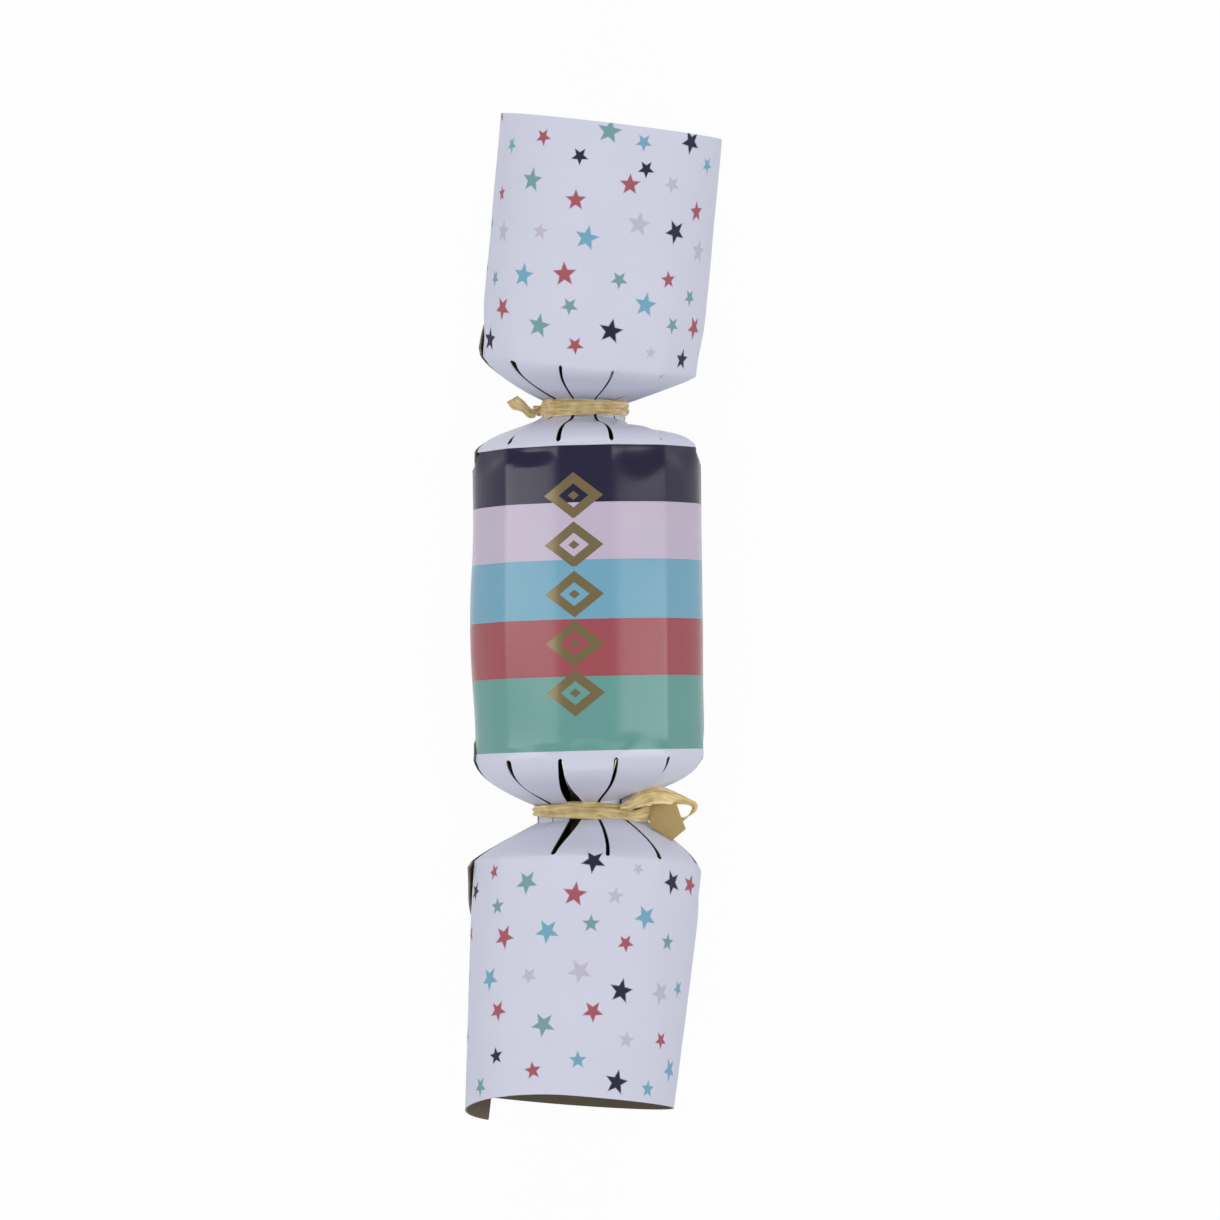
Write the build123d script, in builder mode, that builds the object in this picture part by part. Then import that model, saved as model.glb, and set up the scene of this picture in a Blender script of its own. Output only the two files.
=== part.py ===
"""A pull-apart party cracker: a die-cut card wrap tied at two necks round a snap and its gifts.

The cracker lies along Y on one flat panel of its barrel. Z points up, and the origin is the middle of
that panel. The end towards +Y is called the top, and the end towards -Y the bottom.
Angles round the cracker start at its upper side and run towards +X. Lengths are in millimetres.
"""

import os
from dataclasses import dataclass
from math import cos, pi, radians, sin, sqrt, tan

from build123d import *

# Card wrap
panel_count = 12  # flat panels round the barrel, with a slit in each neck between every two
card = 0.4  # thickness of the printed card
barrel_diameter = 52.0  # across the corners of the barrel
barrel_length = 71.0  # from crease to crease
shoulder_length = 9.5  # along the axis, from a barrel crease to the middle of its tie
waist_diameter = 21.6  # across the corners of the tied necks
slit_width = 0.5  # gap between two neighbouring neck strips
open_slit_width = 2.3  # the one slit of the bottom neck that gapes, at its tie
shoulder_roundness = 4.2  # how far a neck strip runs straight on before it bends in
waist_flare = 1.5  # how far a neck strip runs on past the ribbon before it bends out
torn_gap = 0.5  # between the strips of the barrel and of the tail, under the tie
seam_angle = -75.0  # corner where the outer edge of the sheet lies, on the left
flap_share = 0.85  # of a panel, tucked under the sheet's outer edge
tail_lap_gap = 0.3  # between the two unglued layers of a tail
mouth_roundness = 0.8  # of the panels at a tail's mouth: 0 is flat, 1 is a true circle

# Glue tape of the barrel's seam
tape_thickness = 0.15
tape_width = 8.0
tape_length = 65.0

# Ribbons
ribbon_width = 1.4  # as crumpled in the turns
ribbon_thickness = 0.5
ribbon_pitch = 1.85  # between neighbouring turns
ribbon_turns = 2
ribbon_seat_gap = 0.2  # between the turns and the neck strips, and beside the turns
ribbon_edge_radius = 0.2
knot_spread = 30.0  # degrees from the knot to where a turn leaves the neck
knot_run = 4.2  # straight run of the ribbon into the knot
knot_sink = 0.28  # the knot's face below the middle of the ribbon that enters it
knot_rise = 2.6  # and above it
knot_round = 0.8
ribbon_end_thickness = 0.3
end_root_width = 1.4
end_tip_width = 3.2
loose_ends = ((6, 23, 6.4), (-8, -12, 5.2))  # degrees beside the knot, degrees of slant, and length
loop_width = 3.0  # of the ribbon in the bow loop
loop_reach = 11.0
loop_height = 5.6
loop_foot = 1.5  # where the loop comes out of the knot
loop_belly = 0.62  # share of its reach where the loop is highest
loop_rise = 0.8  # of the loop's middle towards the barrel
flat_end_size = 8.4  # of the broad cut end, beside the loop
flat_end_angle = -12  # degrees from the knot
flat_end_outline = ((0, 0.12), (0.74, 0.19), (1.02, -0.5), (0.64, -0.79), (0.07, -0.33))  # shares of its size
end_seat_gap = 0.1  # between the knot and what comes out of it

# Snap: two card strips that rub together inside a paper sleeve
snap_width = 7.0
snap_thickness = 0.35
snap_gap = 0.4  # between the two strips, for the patches
snap_overlap = 24.0
snap_reach = 20.0  # past each tie, into the tail
patch_thickness = 0.15
patch_length = 8.0
patch_width = 5.0
sleeve_cover = 3.0  # of the sleeve, past each end of the overlap
sleeve_wall = 0.12
sleeve_gap = 0.1
snap_clearance = 0.45  # between the sleeve and the neck strips that it is pulled past

# Gifts
rest_gap = 0.3  # between one loose piece and what it lies on
hat_width = 24.0
hat_length = 60.0
hat_point = 14.0  # length of the crown's point
hat_leaves = 8
leaf_thickness = 0.2
leaf_gap = 0.12
motto_width = 20.0
motto_length = 45.0
motto_thickness = 0.15
motto_fold_gap = 0.3
top_diameter = 15.0
top_thickness = 5.0
top_cone = 3.5  # height of the disc's tapered underside
top_rim_round = 0.8
peg_diameter = 2.6
peg_above = 8.0
peg_below = 5.0
peg_tip = 2.0
top_place = 8.0  # middle of the disc along the barrel

half_panel = pi / panel_count
axis_height = barrel_diameter / 2 * cos(half_panel)
waist_apothem = waist_diameter / 2 * cos(half_panel)
panel_angle = 360 / panel_count
tie_spacing = barrel_length + 2 * shoulder_length
ribbon_radius = waist_diameter / 2 + ribbon_seat_gap + ribbon_thickness / 2
winding_angle = 360 * ribbon_turns - 2 * knot_spread
winding_height = ribbon_pitch * winding_angle / 360  # between the middles of the ribbon's two runs
tie_height = (winding_height + ribbon_width) / 2 + ribbon_seat_gap  # half of the neck under the ribbon
axis_centre = Vector(0, 0, axis_height)
angle_tolerance = 0.1


@dataclass
class End:
    """One end of the cracker, from its tie outwards."""

    name: str
    side: int  # +1 at the top, -1 at the bottom
    lean: float  # degrees in the plane of the table, to the right at the top and left at the bottom
    lift: float  # degrees up from the table
    neck_length: float  # from the tie to the tail's crease
    crease_diameter: float
    tail_length: float
    mouth_diameter: float
    mouth_seam_angle: float  # where the outer edge has moved to at the mouth
    mouth_panel_angle: float  # degrees that each panel covers at the mouth
    knot_angle: float
    gaping: int | None  # the corner whose slit gapes, counted from the upper panel

    @property
    def waist(self):
        return axis_centre + Vector(0, self.side * tie_spacing / 2, 0)


top_end = End(
    name="top",
    side=1,
    lean=5.2,
    lift=5.0,
    neck_length=10.0,
    crease_diameter=49.4,
    tail_length=54.2,
    mouth_diameter=49.8,
    mouth_seam_angle=seam_angle,
    mouth_panel_angle=panel_angle,
    knot_angle=-92.0,
    gaping=None,
)
bottom_end = End(
    name="bottom",
    side=-1,
    lean=4.0,
    lift=7.0,
    neck_length=13.0,
    crease_diameter=51.2,
    tail_length=52.5,
    mouth_diameter=46.6,
    mouth_seam_angle=-72.0,
    mouth_panel_angle=32.8,
    knot_angle=70.0,
    gaping=panel_count - 1,
)


def outward(angle):
    """Unit vector from the cracker's axis, at an angle in degrees round it."""
    return Vector(sin(radians(angle)), 0, cos(radians(angle)))


def along(angle):
    """Unit vector round the cracker's axis, the way the angle grows."""
    return Vector(cos(radians(angle)), 0, -sin(radians(angle)))


def turned(end, vector, share=1.0):
    """The vector turned by a share of the end's lift and lean."""
    lifted = vector.rotate(Axis.X, end.side * end.lift * share)
    return lifted.rotate(Axis.Z, -end.lean * share)


def polar(radius, angle):
    """A point of a cross-section."""
    return Vector(radius * sin(radians(angle)), radius * cos(radians(angle)))


def panel_height(apothem, offset):
    """How far above the axis a many-sided tube's wall is, at an offset to the side."""
    slopes = [2 * half_panel * k for k in range(panel_count // 4 + 1)]
    return min((apothem - offset * sin(s)) / cos(s) for s in slopes if cos(s) > 0.01)


def cross_plane(y):
    """The plane across the barrel at y, with X to the right and Z up in it."""
    return Plane(origin=axis_centre + Vector(0, y, 0), x_dir=(1, 0, 0), z_dir=(0, -1, 0))


def tail_plane(end, height):
    """The plane across a tail, at a height from its tie."""
    origin = end.waist + turned(end, Vector(0, end.side * height, 0))
    return Plane(origin, x_dir=turned(end, Vector(1, 0, 0)), z_dir=turned(end, Vector(0, -1, 0)))


def radial_plane(end, angle):
    """The plane through the cracker's axis at an angle: X runs outwards from it and Y along it."""
    return Plane(end.waist, x_dir=outward(angle), z_dir=-along(angle))


def save(part, name):
    part.label = name
    export_step(part, f"parts/{name}.step")


def rolled_sheet(radius, first_corner, corner_angle, layer_gap, rounded):
    """The edges of the card, rolled from its outer edge back round to the flap tucked under that edge."""
    wall = card / cos(half_panel)
    depth = (card + layer_gap) / cos(half_panel)
    angles = [first_corner - corner_angle * k for k in range(panel_count + 1)]
    flap_angle = angles[-1] - corner_angle * flap_share

    def side_of_card(face):
        lapped = [first_corner - angle > 360 - angle_tolerance for angle in angles]
        radii = [radius - face - depth * inside for inside in lapped]
        corners = [polar(r, a) for r, a in zip(radii, angles)]
        if rounded:
            return radii + radii[-1:], corners + [polar(radii[-1], flap_angle)]
        next_corner = polar(radii[-1], angles[-1] - corner_angle)
        return radii, corners + [corners[-1] + (next_corner - corners[-1]) * flap_share]

    def draw(radii, corners):
        if not rounded:
            Polyline(*corners)
            return
        for k, (start, end) in enumerate(zip(corners, corners[1:])):
            middle = angles[k] - corner_angle * (flap_share if k == panel_count else 1) / 2
            bulge_radius = (radii[k] + radii[k + 1]) / 2 * (1 - (1 - mouth_roundness) * (1 - cos(half_panel)))
            ThreePointArc(start, polar(bulge_radius, middle), end)

    outer, inner = side_of_card(0), side_of_card(wall)
    with BuildLine(mode=Mode.PRIVATE) as outline:
        draw(*outer)
        Line(outer[1][-1], inner[1][-1])
        draw(*inner)
        Line(inner[1][0], outer[1][0])
    return outline.edges()


def barrel_wrap():
    """The striped middle of the sheet, folded at its corners, with its glue flap inside."""
    with BuildPart() as barrel:
        with BuildSketch(cross_plane(barrel_length / 2)):
            radius = barrel_diameter / 2
            make_face(rolled_sheet(radius, seam_angle, panel_angle, tape_thickness, rounded=False))
        extrude(amount=barrel_length)
    save(barrel.part, "barrel_wrap")


def seam_tape():
    """Double-sided tape between the barrel's outer edge and its flap."""
    panel_middle = seam_angle - panel_angle / 2
    face = axis_centre + outward(panel_middle) * (axis_height - card)
    with BuildPart() as tape:
        with BuildSketch(Plane(face, x_dir=(0, 1, 0), z_dir=-outward(panel_middle))):
            Rectangle(tape_length, tape_width)
        extrude(amount=tape_thickness)
    save(tape.part, "seam_tape")


def neck_curve(crease_apothem, crease_height, t):
    """Radius and height of a neck's outline, and of its normal: t is 0 at the crease and 1 at the tie."""
    radii = [crease_apothem, crease_apothem, waist_apothem, waist_apothem]
    heights = [crease_height, crease_height - shoulder_roundness, tie_height + waist_flare, tie_height]
    weights = [(1 - t) ** 3, 3 * (1 - t) ** 2 * t, 3 * (1 - t) * t**2, t**3]
    slopes = [(1 - t) ** 2, 2 * (1 - t) * t, t**2]
    radius = sum(w * r for w, r in zip(weights, radii))
    height = sum(w * h for w, h in zip(weights, heights))
    radius_slope = sum(s * (b - a) for s, a, b in zip(slopes, radii, radii[1:]))
    height_slope = sum(s * (b - a) for s, a, b in zip(slopes, heights, heights[1:]))
    size = sqrt(radius_slope**2 + height_slope**2)
    return radius, height, -height_slope / size, radius_slope / size


def neck_strips(end, tail_side):
    """The ring of card strips between two slits each, from a crease of the barrel or tail to the tie."""
    if tail_side:
        crease_apothem = end.crease_diameter / 2 * cos(half_panel)
        crease_height = end.neck_length
    else:
        crease_apothem = axis_height
        crease_height = shoulder_length
    stations = [(t, *neck_curve(crease_apothem, crease_height, t)) for t in (0, 0.2, 0.4, 0.6, 0.8, 1)]
    axial = Vector(0, end.side if tail_side else -end.side, 0)
    with BuildPart() as strips:
        for k in range(panel_count):
            angle = panel_angle * k
            for t, radius, height, normal_out, normal_along in stations:
                share = 1 - t if tail_side else 0
                place = end.waist + turned(end, outward(angle) * radius + axial * height, share)
                normal = turned(end, outward(angle) * normal_out + axial * normal_along, share)
                across = turned(end, along(angle), share)
                gaps = [
                    slit_width + (open_slit_width - slit_width) * t * (end.gaping == corner % panel_count)
                    for corner in (k - 1, k)
                ]
                left, right = (radius * tan(half_panel) - gap / 2 for gap in gaps)
                with BuildSketch(Plane(place, x_dir=across, z_dir=across.cross(normal))) as section:
                    with Locations(((right - left) / 2, 0)):
                        Rectangle(left + right, card, align=(Align.CENTER, Align.MAX))
            loft()
            extrude(section.sketch, amount=tie_height - torn_gap / 2, dir=-axial)
    save(strips.part, f"{end.name}_{'tail' if tail_side else 'shoulder'}_strips")


def tail_wrap(end):
    """An end of the sheet: creased to panels at its neck, rolled round at its mouth, open at its lap."""
    neck = (end.crease_diameter / 2, seam_angle, panel_angle, tail_lap_gap)
    mouth = (end.mouth_diameter / 2, end.mouth_seam_angle, end.mouth_panel_angle, tail_lap_gap)
    with BuildPart() as tail:
        with BuildSketch(tail_plane(end, end.neck_length)):
            make_face(rolled_sheet(*neck, rounded=False))
        with BuildSketch(tail_plane(end, end.neck_length + end.tail_length)):
            make_face(rolled_sheet(*mouth, rounded=True))
        loft(ruled=True)
    save(tail.part, f"{end.name}_tail_wrap")


def ribbon_winding(end):
    """The ribbon wound round the neck, on arcs of about a quarter turn, with straight runs into its knot."""
    arc_count = 4 * ribbon_turns

    def on_turn(turned_by):
        radial = outward(end.knot_angle + knot_spread + turned_by) * ribbon_radius
        return end.waist + radial + Vector(0, ribbon_pitch * turned_by / 360 - winding_height / 2, 0)

    with BuildPart() as ribbon:
        with BuildLine() as path:
            arcs = []
            step = winding_angle / arc_count
            for k in range(arc_count):
                arcs.append(ThreePointArc(*(on_turn(step * (k + s)) for s in (0, 0.5, 1))))
            Line(arcs[0] @ 0 - (arcs[0] % 0) * knot_run, arcs[0] @ 0)
            Line(arcs[-1] @ 1, arcs[-1] @ 1 + (arcs[-1] % 1) * knot_run)
        whole = path.wires()[0]
        with BuildSketch(Plane(whole @ 0, x_dir=(0, 1, 0), z_dir=whole % 0)):
            RectangleRounded(ribbon_width, ribbon_thickness, ribbon_edge_radius)
        sweep(path=whole)
    print(f"{end.name} ribbon: least gap between its turns {least_turn_gap(whole):.2f} mm")
    save(ribbon.part, f"{end.name}_ribbon_turns")


def least_turn_gap(path):
    """The least gap between turns, measured on points over half a turn apart along the winding."""
    count = 60 * ribbon_turns
    points = [path @ (k / count) for k in range(count + 1)]
    apart = count // (2 * ribbon_turns)
    pairs = ((a, b) for i, a in enumerate(points) for b in points[i + apart :])
    return min((a - b).length for a, b in pairs) - ribbon_width


def knot_corner(distance):
    """A point of the knot's side, this far outwards from where the ribbon enters, as (round, out)."""
    spread = radians(knot_spread)
    entry_round = ribbon_radius * sin(spread) - knot_run * cos(spread)
    entry_out = ribbon_radius * cos(spread) + knot_run * sin(spread)
    return entry_round + distance * sin(spread), entry_out + distance * cos(spread)


knot_top = knot_corner(knot_rise)[1]


def ribbon_knot(end):
    """The lump of the knot: the two runs of ribbon enter its slanted sides squarely."""
    depth = (winding_height + ribbon_width) / 2
    foot_round, foot_out = knot_corner(-knot_sink)
    head_round, head_out = knot_corner(knot_rise)
    with BuildPart() as knot:
        with BuildSketch(Plane(end.waist, x_dir=along(end.knot_angle), z_dir=(0, -1, 0))):
            with BuildLine():
                Polyline(
                    (-head_round, head_out),
                    (-foot_round, foot_out),
                    (foot_round, foot_out),
                    (head_round, head_out),
                )
                ThreePointArc((head_round, head_out), (0, head_out + knot_round), (-head_round, head_out))
            make_face()
        extrude(amount=depth, both=True)
        crown = knot.faces().filter_by(GeomType.CYLINDER).sort_by(Axis.Y)[0]
        fillet(crown.edges(), knot_round)
    save(knot.part, f"{end.name}_ribbon_knot")


def ribbon_seat(angle_from_knot):
    """Where a ribbon end begins, out from the axis, at an angle beside the middle of the knot."""
    return (knot_top + knot_round) / cos(radians(angle_from_knot)) + end_seat_gap


def top_ribbon_ends(end):
    """The two cut ends of the top ribbon, flat and flared: one points up the tail, one hangs behind it."""
    with BuildPart() as ends:
        for beside, slant, length in loose_ends:
            start = ribbon_seat(beside)
            tip = start + length
            climb = length * tan(radians(slant))
            with BuildSketch(radial_plane(end, end.knot_angle + beside)):
                with BuildLine():
                    Polyline(
                        (start, -end_root_width / 2),
                        (tip, climb - end_tip_width / 2),
                        (tip, climb + end_tip_width / 2),
                        (start, end_root_width / 2),
                        close=True,
                    )
                make_face()
            extrude(amount=ribbon_end_thickness / 2, both=True)
    save(ends.part, f"{end.name}_ribbon_ends")


def bottom_ribbon_loop(end):
    """The bow loop of the bottom ribbon, a band that stands out from the knot."""
    start = ribbon_seat(0)
    belly = start + loop_reach * loop_belly
    upper_foot = (start, loop_rise / 4 + loop_foot / 2)
    lower_foot = (start, loop_rise / 4 - loop_foot / 2)
    upper_belly = (belly, loop_rise + loop_height / 2)
    lower_belly = (belly, loop_rise - loop_height / 2)
    with BuildPart() as loop:
        with BuildSketch(radial_plane(end, end.knot_angle)):
            with BuildLine():
                Line(lower_foot, upper_foot)
                TangentArc(upper_foot, upper_belly, tangent=(1, 2))
                ThreePointArc(upper_belly, (start + loop_reach, loop_rise), lower_belly)
                Line(lower_belly, lower_foot)
            make_face()
            offset(amount=-ribbon_end_thickness, mode=Mode.SUBTRACT)
        extrude(amount=loop_width / 2, both=True)
    save(loop.part, f"{end.name}_ribbon_loop")


def bottom_ribbon_end(end):
    """The flat cut end of the bottom ribbon, which lies beside the loop."""
    start = ribbon_seat(flat_end_angle)
    corners = [(start + out * flat_end_size, side * flat_end_size) for out, side in flat_end_outline]
    with BuildPart() as flat_end:
        with BuildSketch(radial_plane(end, end.knot_angle + flat_end_angle)):
            with BuildLine():
                Polyline(*corners, close=True)
            make_face()
        extrude(amount=ribbon_end_thickness / 2, both=True)
    save(flat_end.part, f"{end.name}_ribbon_end")


sleeve_half_width = snap_width / 2 + sleeve_gap + sleeve_wall
sleeve_top = axis_height + panel_height(waist_apothem - card, sleeve_half_width) - snap_clearance
snap_top_face = sleeve_top - sleeve_wall - sleeve_gap
snap_between = snap_top_face - snap_thickness - snap_gap / 2  # the plane between the two strips
strip_length = tie_spacing / 2 + snap_reach + snap_overlap / 2


def snap_strip(end):
    """One pulled strip of the snap, from inside its tail to past the middle of the barrel."""
    level = snap_between + end.side * (snap_gap + snap_thickness) / 2
    middle = end.side * (strip_length - snap_overlap) / 2
    with BuildPart() as strip:
        with Locations((0, middle, level)):
            Box(snap_width, strip_length, snap_thickness)
    save(strip.part, f"snap_{end.name}_strip")


def snap_patch(end, name):
    """A rubbing patch near the inner end of a strip: pulling draws the two patches across each other."""
    level = snap_between + end.side * (snap_gap - patch_thickness) / 2
    middle = -end.side * (snap_overlap - patch_length) / 2
    with BuildPart() as patch:
        with Locations((0, middle, level)):
            Box(patch_width, patch_length, patch_thickness)
    save(patch.part, name)


def snap_sleeve():
    """The paper sleeve round the overlap of the two strips."""
    bore_height = 2 * snap_thickness + snap_gap + 2 * sleeve_gap
    bore_width = snap_width + 2 * sleeve_gap
    middle = Vector(0, 0, snap_between)
    with BuildPart() as sleeve:
        with BuildSketch(Plane(middle, x_dir=(1, 0, 0), z_dir=(0, -1, 0))):
            Rectangle(bore_width + 2 * sleeve_wall, bore_height + 2 * sleeve_wall)
            Rectangle(bore_width, bore_height, mode=Mode.SUBTRACT)
        extrude(amount=snap_overlap / 2 + sleeve_cover, both=True)
    save(sleeve.part, "snap_sleeve")


hat_thickness = hat_leaves * leaf_thickness + (hat_leaves - 1) * leaf_gap
hat_floor = axis_height - panel_height(axis_height - card, hat_width / 2) + rest_gap
motto_floor = hat_floor + hat_thickness + rest_gap
motto_height = 2 * motto_thickness + motto_fold_gap
top_axis_height = motto_floor + motto_height + rest_gap + top_diameter / 2


def paper_hat():
    """The tissue crown, folded to and fro into one pointed pack."""
    leaf_step = leaf_thickness + leaf_gap
    straight = hat_length / 2 - hat_point
    with BuildPart() as hat:
        for leaf in range(hat_leaves):
            with BuildSketch(Plane.XY.offset(hat_floor + leaf * leaf_step)):
                with BuildLine():
                    Polyline(
                        (-hat_width / 2, -hat_length / 2),
                        (hat_width / 2, -hat_length / 2),
                        (hat_width / 2, straight),
                        (0, hat_length / 2),
                        (-hat_width / 2, straight),
                        close=True,
                    )
                make_face()
            extrude(amount=leaf_thickness)
        for fold in range(hat_leaves - 1):
            fold_side = 1 if fold % 2 else -1
            fold_middle = fold_side * (hat_width - leaf_thickness) / 2
            with BuildSketch(Plane.XY.offset(hat_floor + leaf_thickness + fold * leaf_step)):
                with Locations((fold_middle, -hat_point / 2)):
                    Rectangle(leaf_thickness, hat_length - hat_point)
            extrude(amount=leaf_gap)
    save(hat.part, "paper_hat")


def motto_slip():
    """The printed motto, a slip folded once along its length."""
    with BuildPart() as motto:
        with BuildSketch(Plane(Vector(0, 0, motto_floor), x_dir=(1, 0, 0), z_dir=(0, -1, 0))):
            Rectangle(motto_width, motto_height, align=(Align.CENTER, Align.MIN))
            with Locations((motto_thickness, motto_thickness)):
                Rectangle(motto_width, motto_fold_gap, align=(Align.CENTER, Align.MIN), mode=Mode.SUBTRACT)
        extrude(amount=motto_length / 2, both=True)
    save(motto.part, "motto_slip")


def spinning_top():
    """The gift: a small spinning top that lies on its side, a disc pressed on a pointed peg."""
    disc_back = top_place - top_thickness / 2
    lying = Plane(Vector(0, disc_back, top_axis_height), x_dir=(1, 0, 0), z_dir=(0, 0, 1))
    spin_axis = Axis(lying.origin, (0, 1, 0))
    peg_radius = peg_diameter / 2
    with BuildPart() as disc:
        with BuildSketch(lying):
            with BuildLine():
                Polyline(
                    (peg_radius, 0),
                    (top_diameter / 4, 0),
                    (top_diameter / 2, top_cone),
                    (top_diameter / 2, top_thickness),
                    (peg_radius, top_thickness),
                    close=True,
                )
            make_face()
        revolve(axis=spin_axis)
        rim = disc.edges().filter_by(GeomType.CIRCLE).group_by(SortBy.RADIUS)[-1]
        fillet(rim, min(top_rim_round, (top_thickness - top_cone) / 3))
    save(disc.part, "spinning_top_disc")
    with BuildPart() as peg:
        with BuildSketch(lying):
            with BuildLine():
                Polyline(
                    (0, -peg_below),
                    (peg_radius, peg_tip - peg_below),
                    (peg_radius, top_thickness + peg_above),
                    (0, top_thickness + peg_above),
                    close=True,
                )
            make_face()
        revolve(axis=spin_axis)
    save(peg.part, "spinning_top_peg")


os.makedirs("parts", exist_ok=True)
barrel_wrap()
seam_tape()
for cracker_end in (top_end, bottom_end):
    neck_strips(cracker_end, tail_side=False)
    neck_strips(cracker_end, tail_side=True)
    tail_wrap(cracker_end)
    ribbon_winding(cracker_end)
    ribbon_knot(cracker_end)
    snap_strip(cracker_end)
top_ribbon_ends(top_end)
bottom_ribbon_loop(bottom_end)
bottom_ribbon_end(bottom_end)
snap_patch(top_end, "snap_striker_patch")
snap_patch(bottom_end, "snap_compound_patch")
snap_sleeve()
paper_hat()
motto_slip()
spinning_top()
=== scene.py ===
import math
import random

import bmesh
import bpy
from mathutils import Matrix, Vector, noise


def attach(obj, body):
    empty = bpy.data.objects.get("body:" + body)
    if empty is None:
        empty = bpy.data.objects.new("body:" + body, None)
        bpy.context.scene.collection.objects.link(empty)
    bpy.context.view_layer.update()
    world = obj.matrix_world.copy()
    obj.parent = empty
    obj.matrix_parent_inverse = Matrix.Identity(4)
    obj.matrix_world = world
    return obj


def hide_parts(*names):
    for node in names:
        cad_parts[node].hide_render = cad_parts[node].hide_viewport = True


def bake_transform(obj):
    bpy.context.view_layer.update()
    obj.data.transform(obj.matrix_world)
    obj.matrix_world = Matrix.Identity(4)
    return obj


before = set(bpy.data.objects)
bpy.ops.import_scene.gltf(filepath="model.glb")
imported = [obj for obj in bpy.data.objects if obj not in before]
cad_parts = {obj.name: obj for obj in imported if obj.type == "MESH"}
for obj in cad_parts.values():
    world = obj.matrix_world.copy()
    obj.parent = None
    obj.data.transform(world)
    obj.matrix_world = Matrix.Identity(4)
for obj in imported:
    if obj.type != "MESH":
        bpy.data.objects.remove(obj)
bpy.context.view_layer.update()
print("frame loaded with", len(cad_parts), "nodes")

mm = 0.001  # shapes are worked out in millimetres


def ink(red, green, blue):
    # a screen colour as the linear values that the sockets take
    def linear(value):
        value /= 255
        return value / 12.92 if value <= 0.04045 else ((value + 0.055) / 1.055) ** 2.4

    return (linear(red), linear(green), linear(blue), 1.0)


def ease(x):
    x = min(1.0, max(0.0, x))
    return x * x * (3 - 2 * x)


def mix(a, b, share):
    return a + (b - a) * share


# card wrap

wrap = {
    "card": 0.4,
    "panels": 12,
    "panel": 30.0,  # degrees round the axis
    "panelWidth": 13.46,
    "seam": -75.0,  # corner where the outer edge of the sheet lies
    "flap": 0.85,  # of a panel, tucked under that edge
    "axis": 25.114,  # height of the cracker's axis over the table
    "tie": 45.0,
    "columns": 8,  # quads across a panel
    "rest": 0.12,  # the card's lowest point over the table
    "shift": 0.25,  # the cracker lies a little askew
    "askew": -0.011,
    "front": 120.0,  # on the flat sheet, what lies on top of the rolled tails
    "crowd": 3.3,  # degrees by which the panels crowd towards the upper side
}
barrelLook = {
    "top": 35.5,  # where the flat panels of the creases begin
    "bottom": -33.0,
    "topCorner": 25.88,  # from the axis to a crease's corner
    "bottomCorner": 26.85,
    "radius": 26.1,  # where the barrel is round
    "roundness": 0.85,
    "ridges": {8: 0.6, 11: 0.6},  # corners that stay as ridges all along, with one arc between them in front
    "arc": 37.0,  # degrees to which that arc turns at the ridges
    "skew": 0.65,  # the sheet was rolled a little askew
    "lapBack": 0.95,  # panels by which the outer edge steps back between the creases
    "lapRun": 6.0,
    "topFold": 3.6,  # how far the flat of a crease's panels runs in
    "bottomFold": 3.4,
    "arch": 0.7,  # the flat of each panel ends in an arch
    "archPower": 1.4,
    "archFade": 0.8,
    "swell": 1.011,  # of the radius, at corners that aren't rounded off
    "dent": 0.1,
    "dentRun": 1.6,
    "dentFade": 0.7,
    "ripple": 0.09,
    "rippleRun": 4.0,
    "bulge": 1.0,  # on the left, over the seam
    "bulgeAt": -4.0,
    "bulgeRun": 24.0,
    "lapDepth": 0.55,
    "rows": 46,
}
neckLook = {
    "waist": 10.43,  # apothem under the ribbon
    "slit": 0.9,
    "gape": {"shoulder": 3.3, "neck": 2.7},
    "shut": 0.28,  # width of the slits underneath
    "soft": 0.9,  # how far the creases in front are rounded off
    "curl": 0.2,
    "lips": (0.12, 0.3, 0.6),  # rows close to a slit's start
    "steps": 13,  # rows from there to the tie
    "underRibbon": ((1.2, 0.8), (0.0, 1.7)),  # height, and distance past the last row
    "torn": (0.2, 0.7),
}
tailLook = {
    "rows": 40,
    "roundness": 0.95,
    "lapDepth": 0.7,
    "lapStart": 1.5,
    "lapAcross": 1.3,  # panels
    "ripple": 0.12,
    "rippleRun": 6.0,
    "hangFrom": 8.8,  # panels from the seam
    "hangRun": 4.0,
}
topLook = {
    "name": "top",
    "side": 1,
    "lean": 5.2,
    "lift": 5.0,
    "crease": 50.8,
    "tail": 53.7,
    "mouth": 50.75,
    "mouthSeam": -75.0,
    "mouthPanel": 30.0,
    "waistShift": -0.6,
    "tailShift": -0.05,
    "twist": 0.0,  # degrees by which the neck turns from the tie to the tail
    "mouthSkew": -0.7,
    "squeeze": 0.86,  # of the neck from side to side
    "gaping": None,
    "lapLift": 0.5,
    "lapRun": 8.0,
    "lapBack": 1.0,  # panels by which the outer edge steps back along the tail
    "mouthFlap": 1.3,
    "hang": 0.0,
    "fold": 13.0,
    "knot": -92.0,
    "shoulder": {
        "length": 9.5, "bend": (0.8, 4.0), "flare": (12.0, 4.4), "under": 1.8, "slitStart": 0.9,
        "skew": (0.65, -0.75), "slits": {8: 0.6, 9: 1.1, 10: 1.15, 11: 1.5},
    },
    "neck": {
        "length": 10.3, "bend": (1.4, 2.6), "flare": (16.0, 3.6), "under": 1.9, "slitStart": 0.5,
        "skew": (-0.3, -0.3), "slits": {7: 1.0, 8: 0.7, 9: 0.66, 10: 0.85, 11: 2.1},
    },
}
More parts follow.
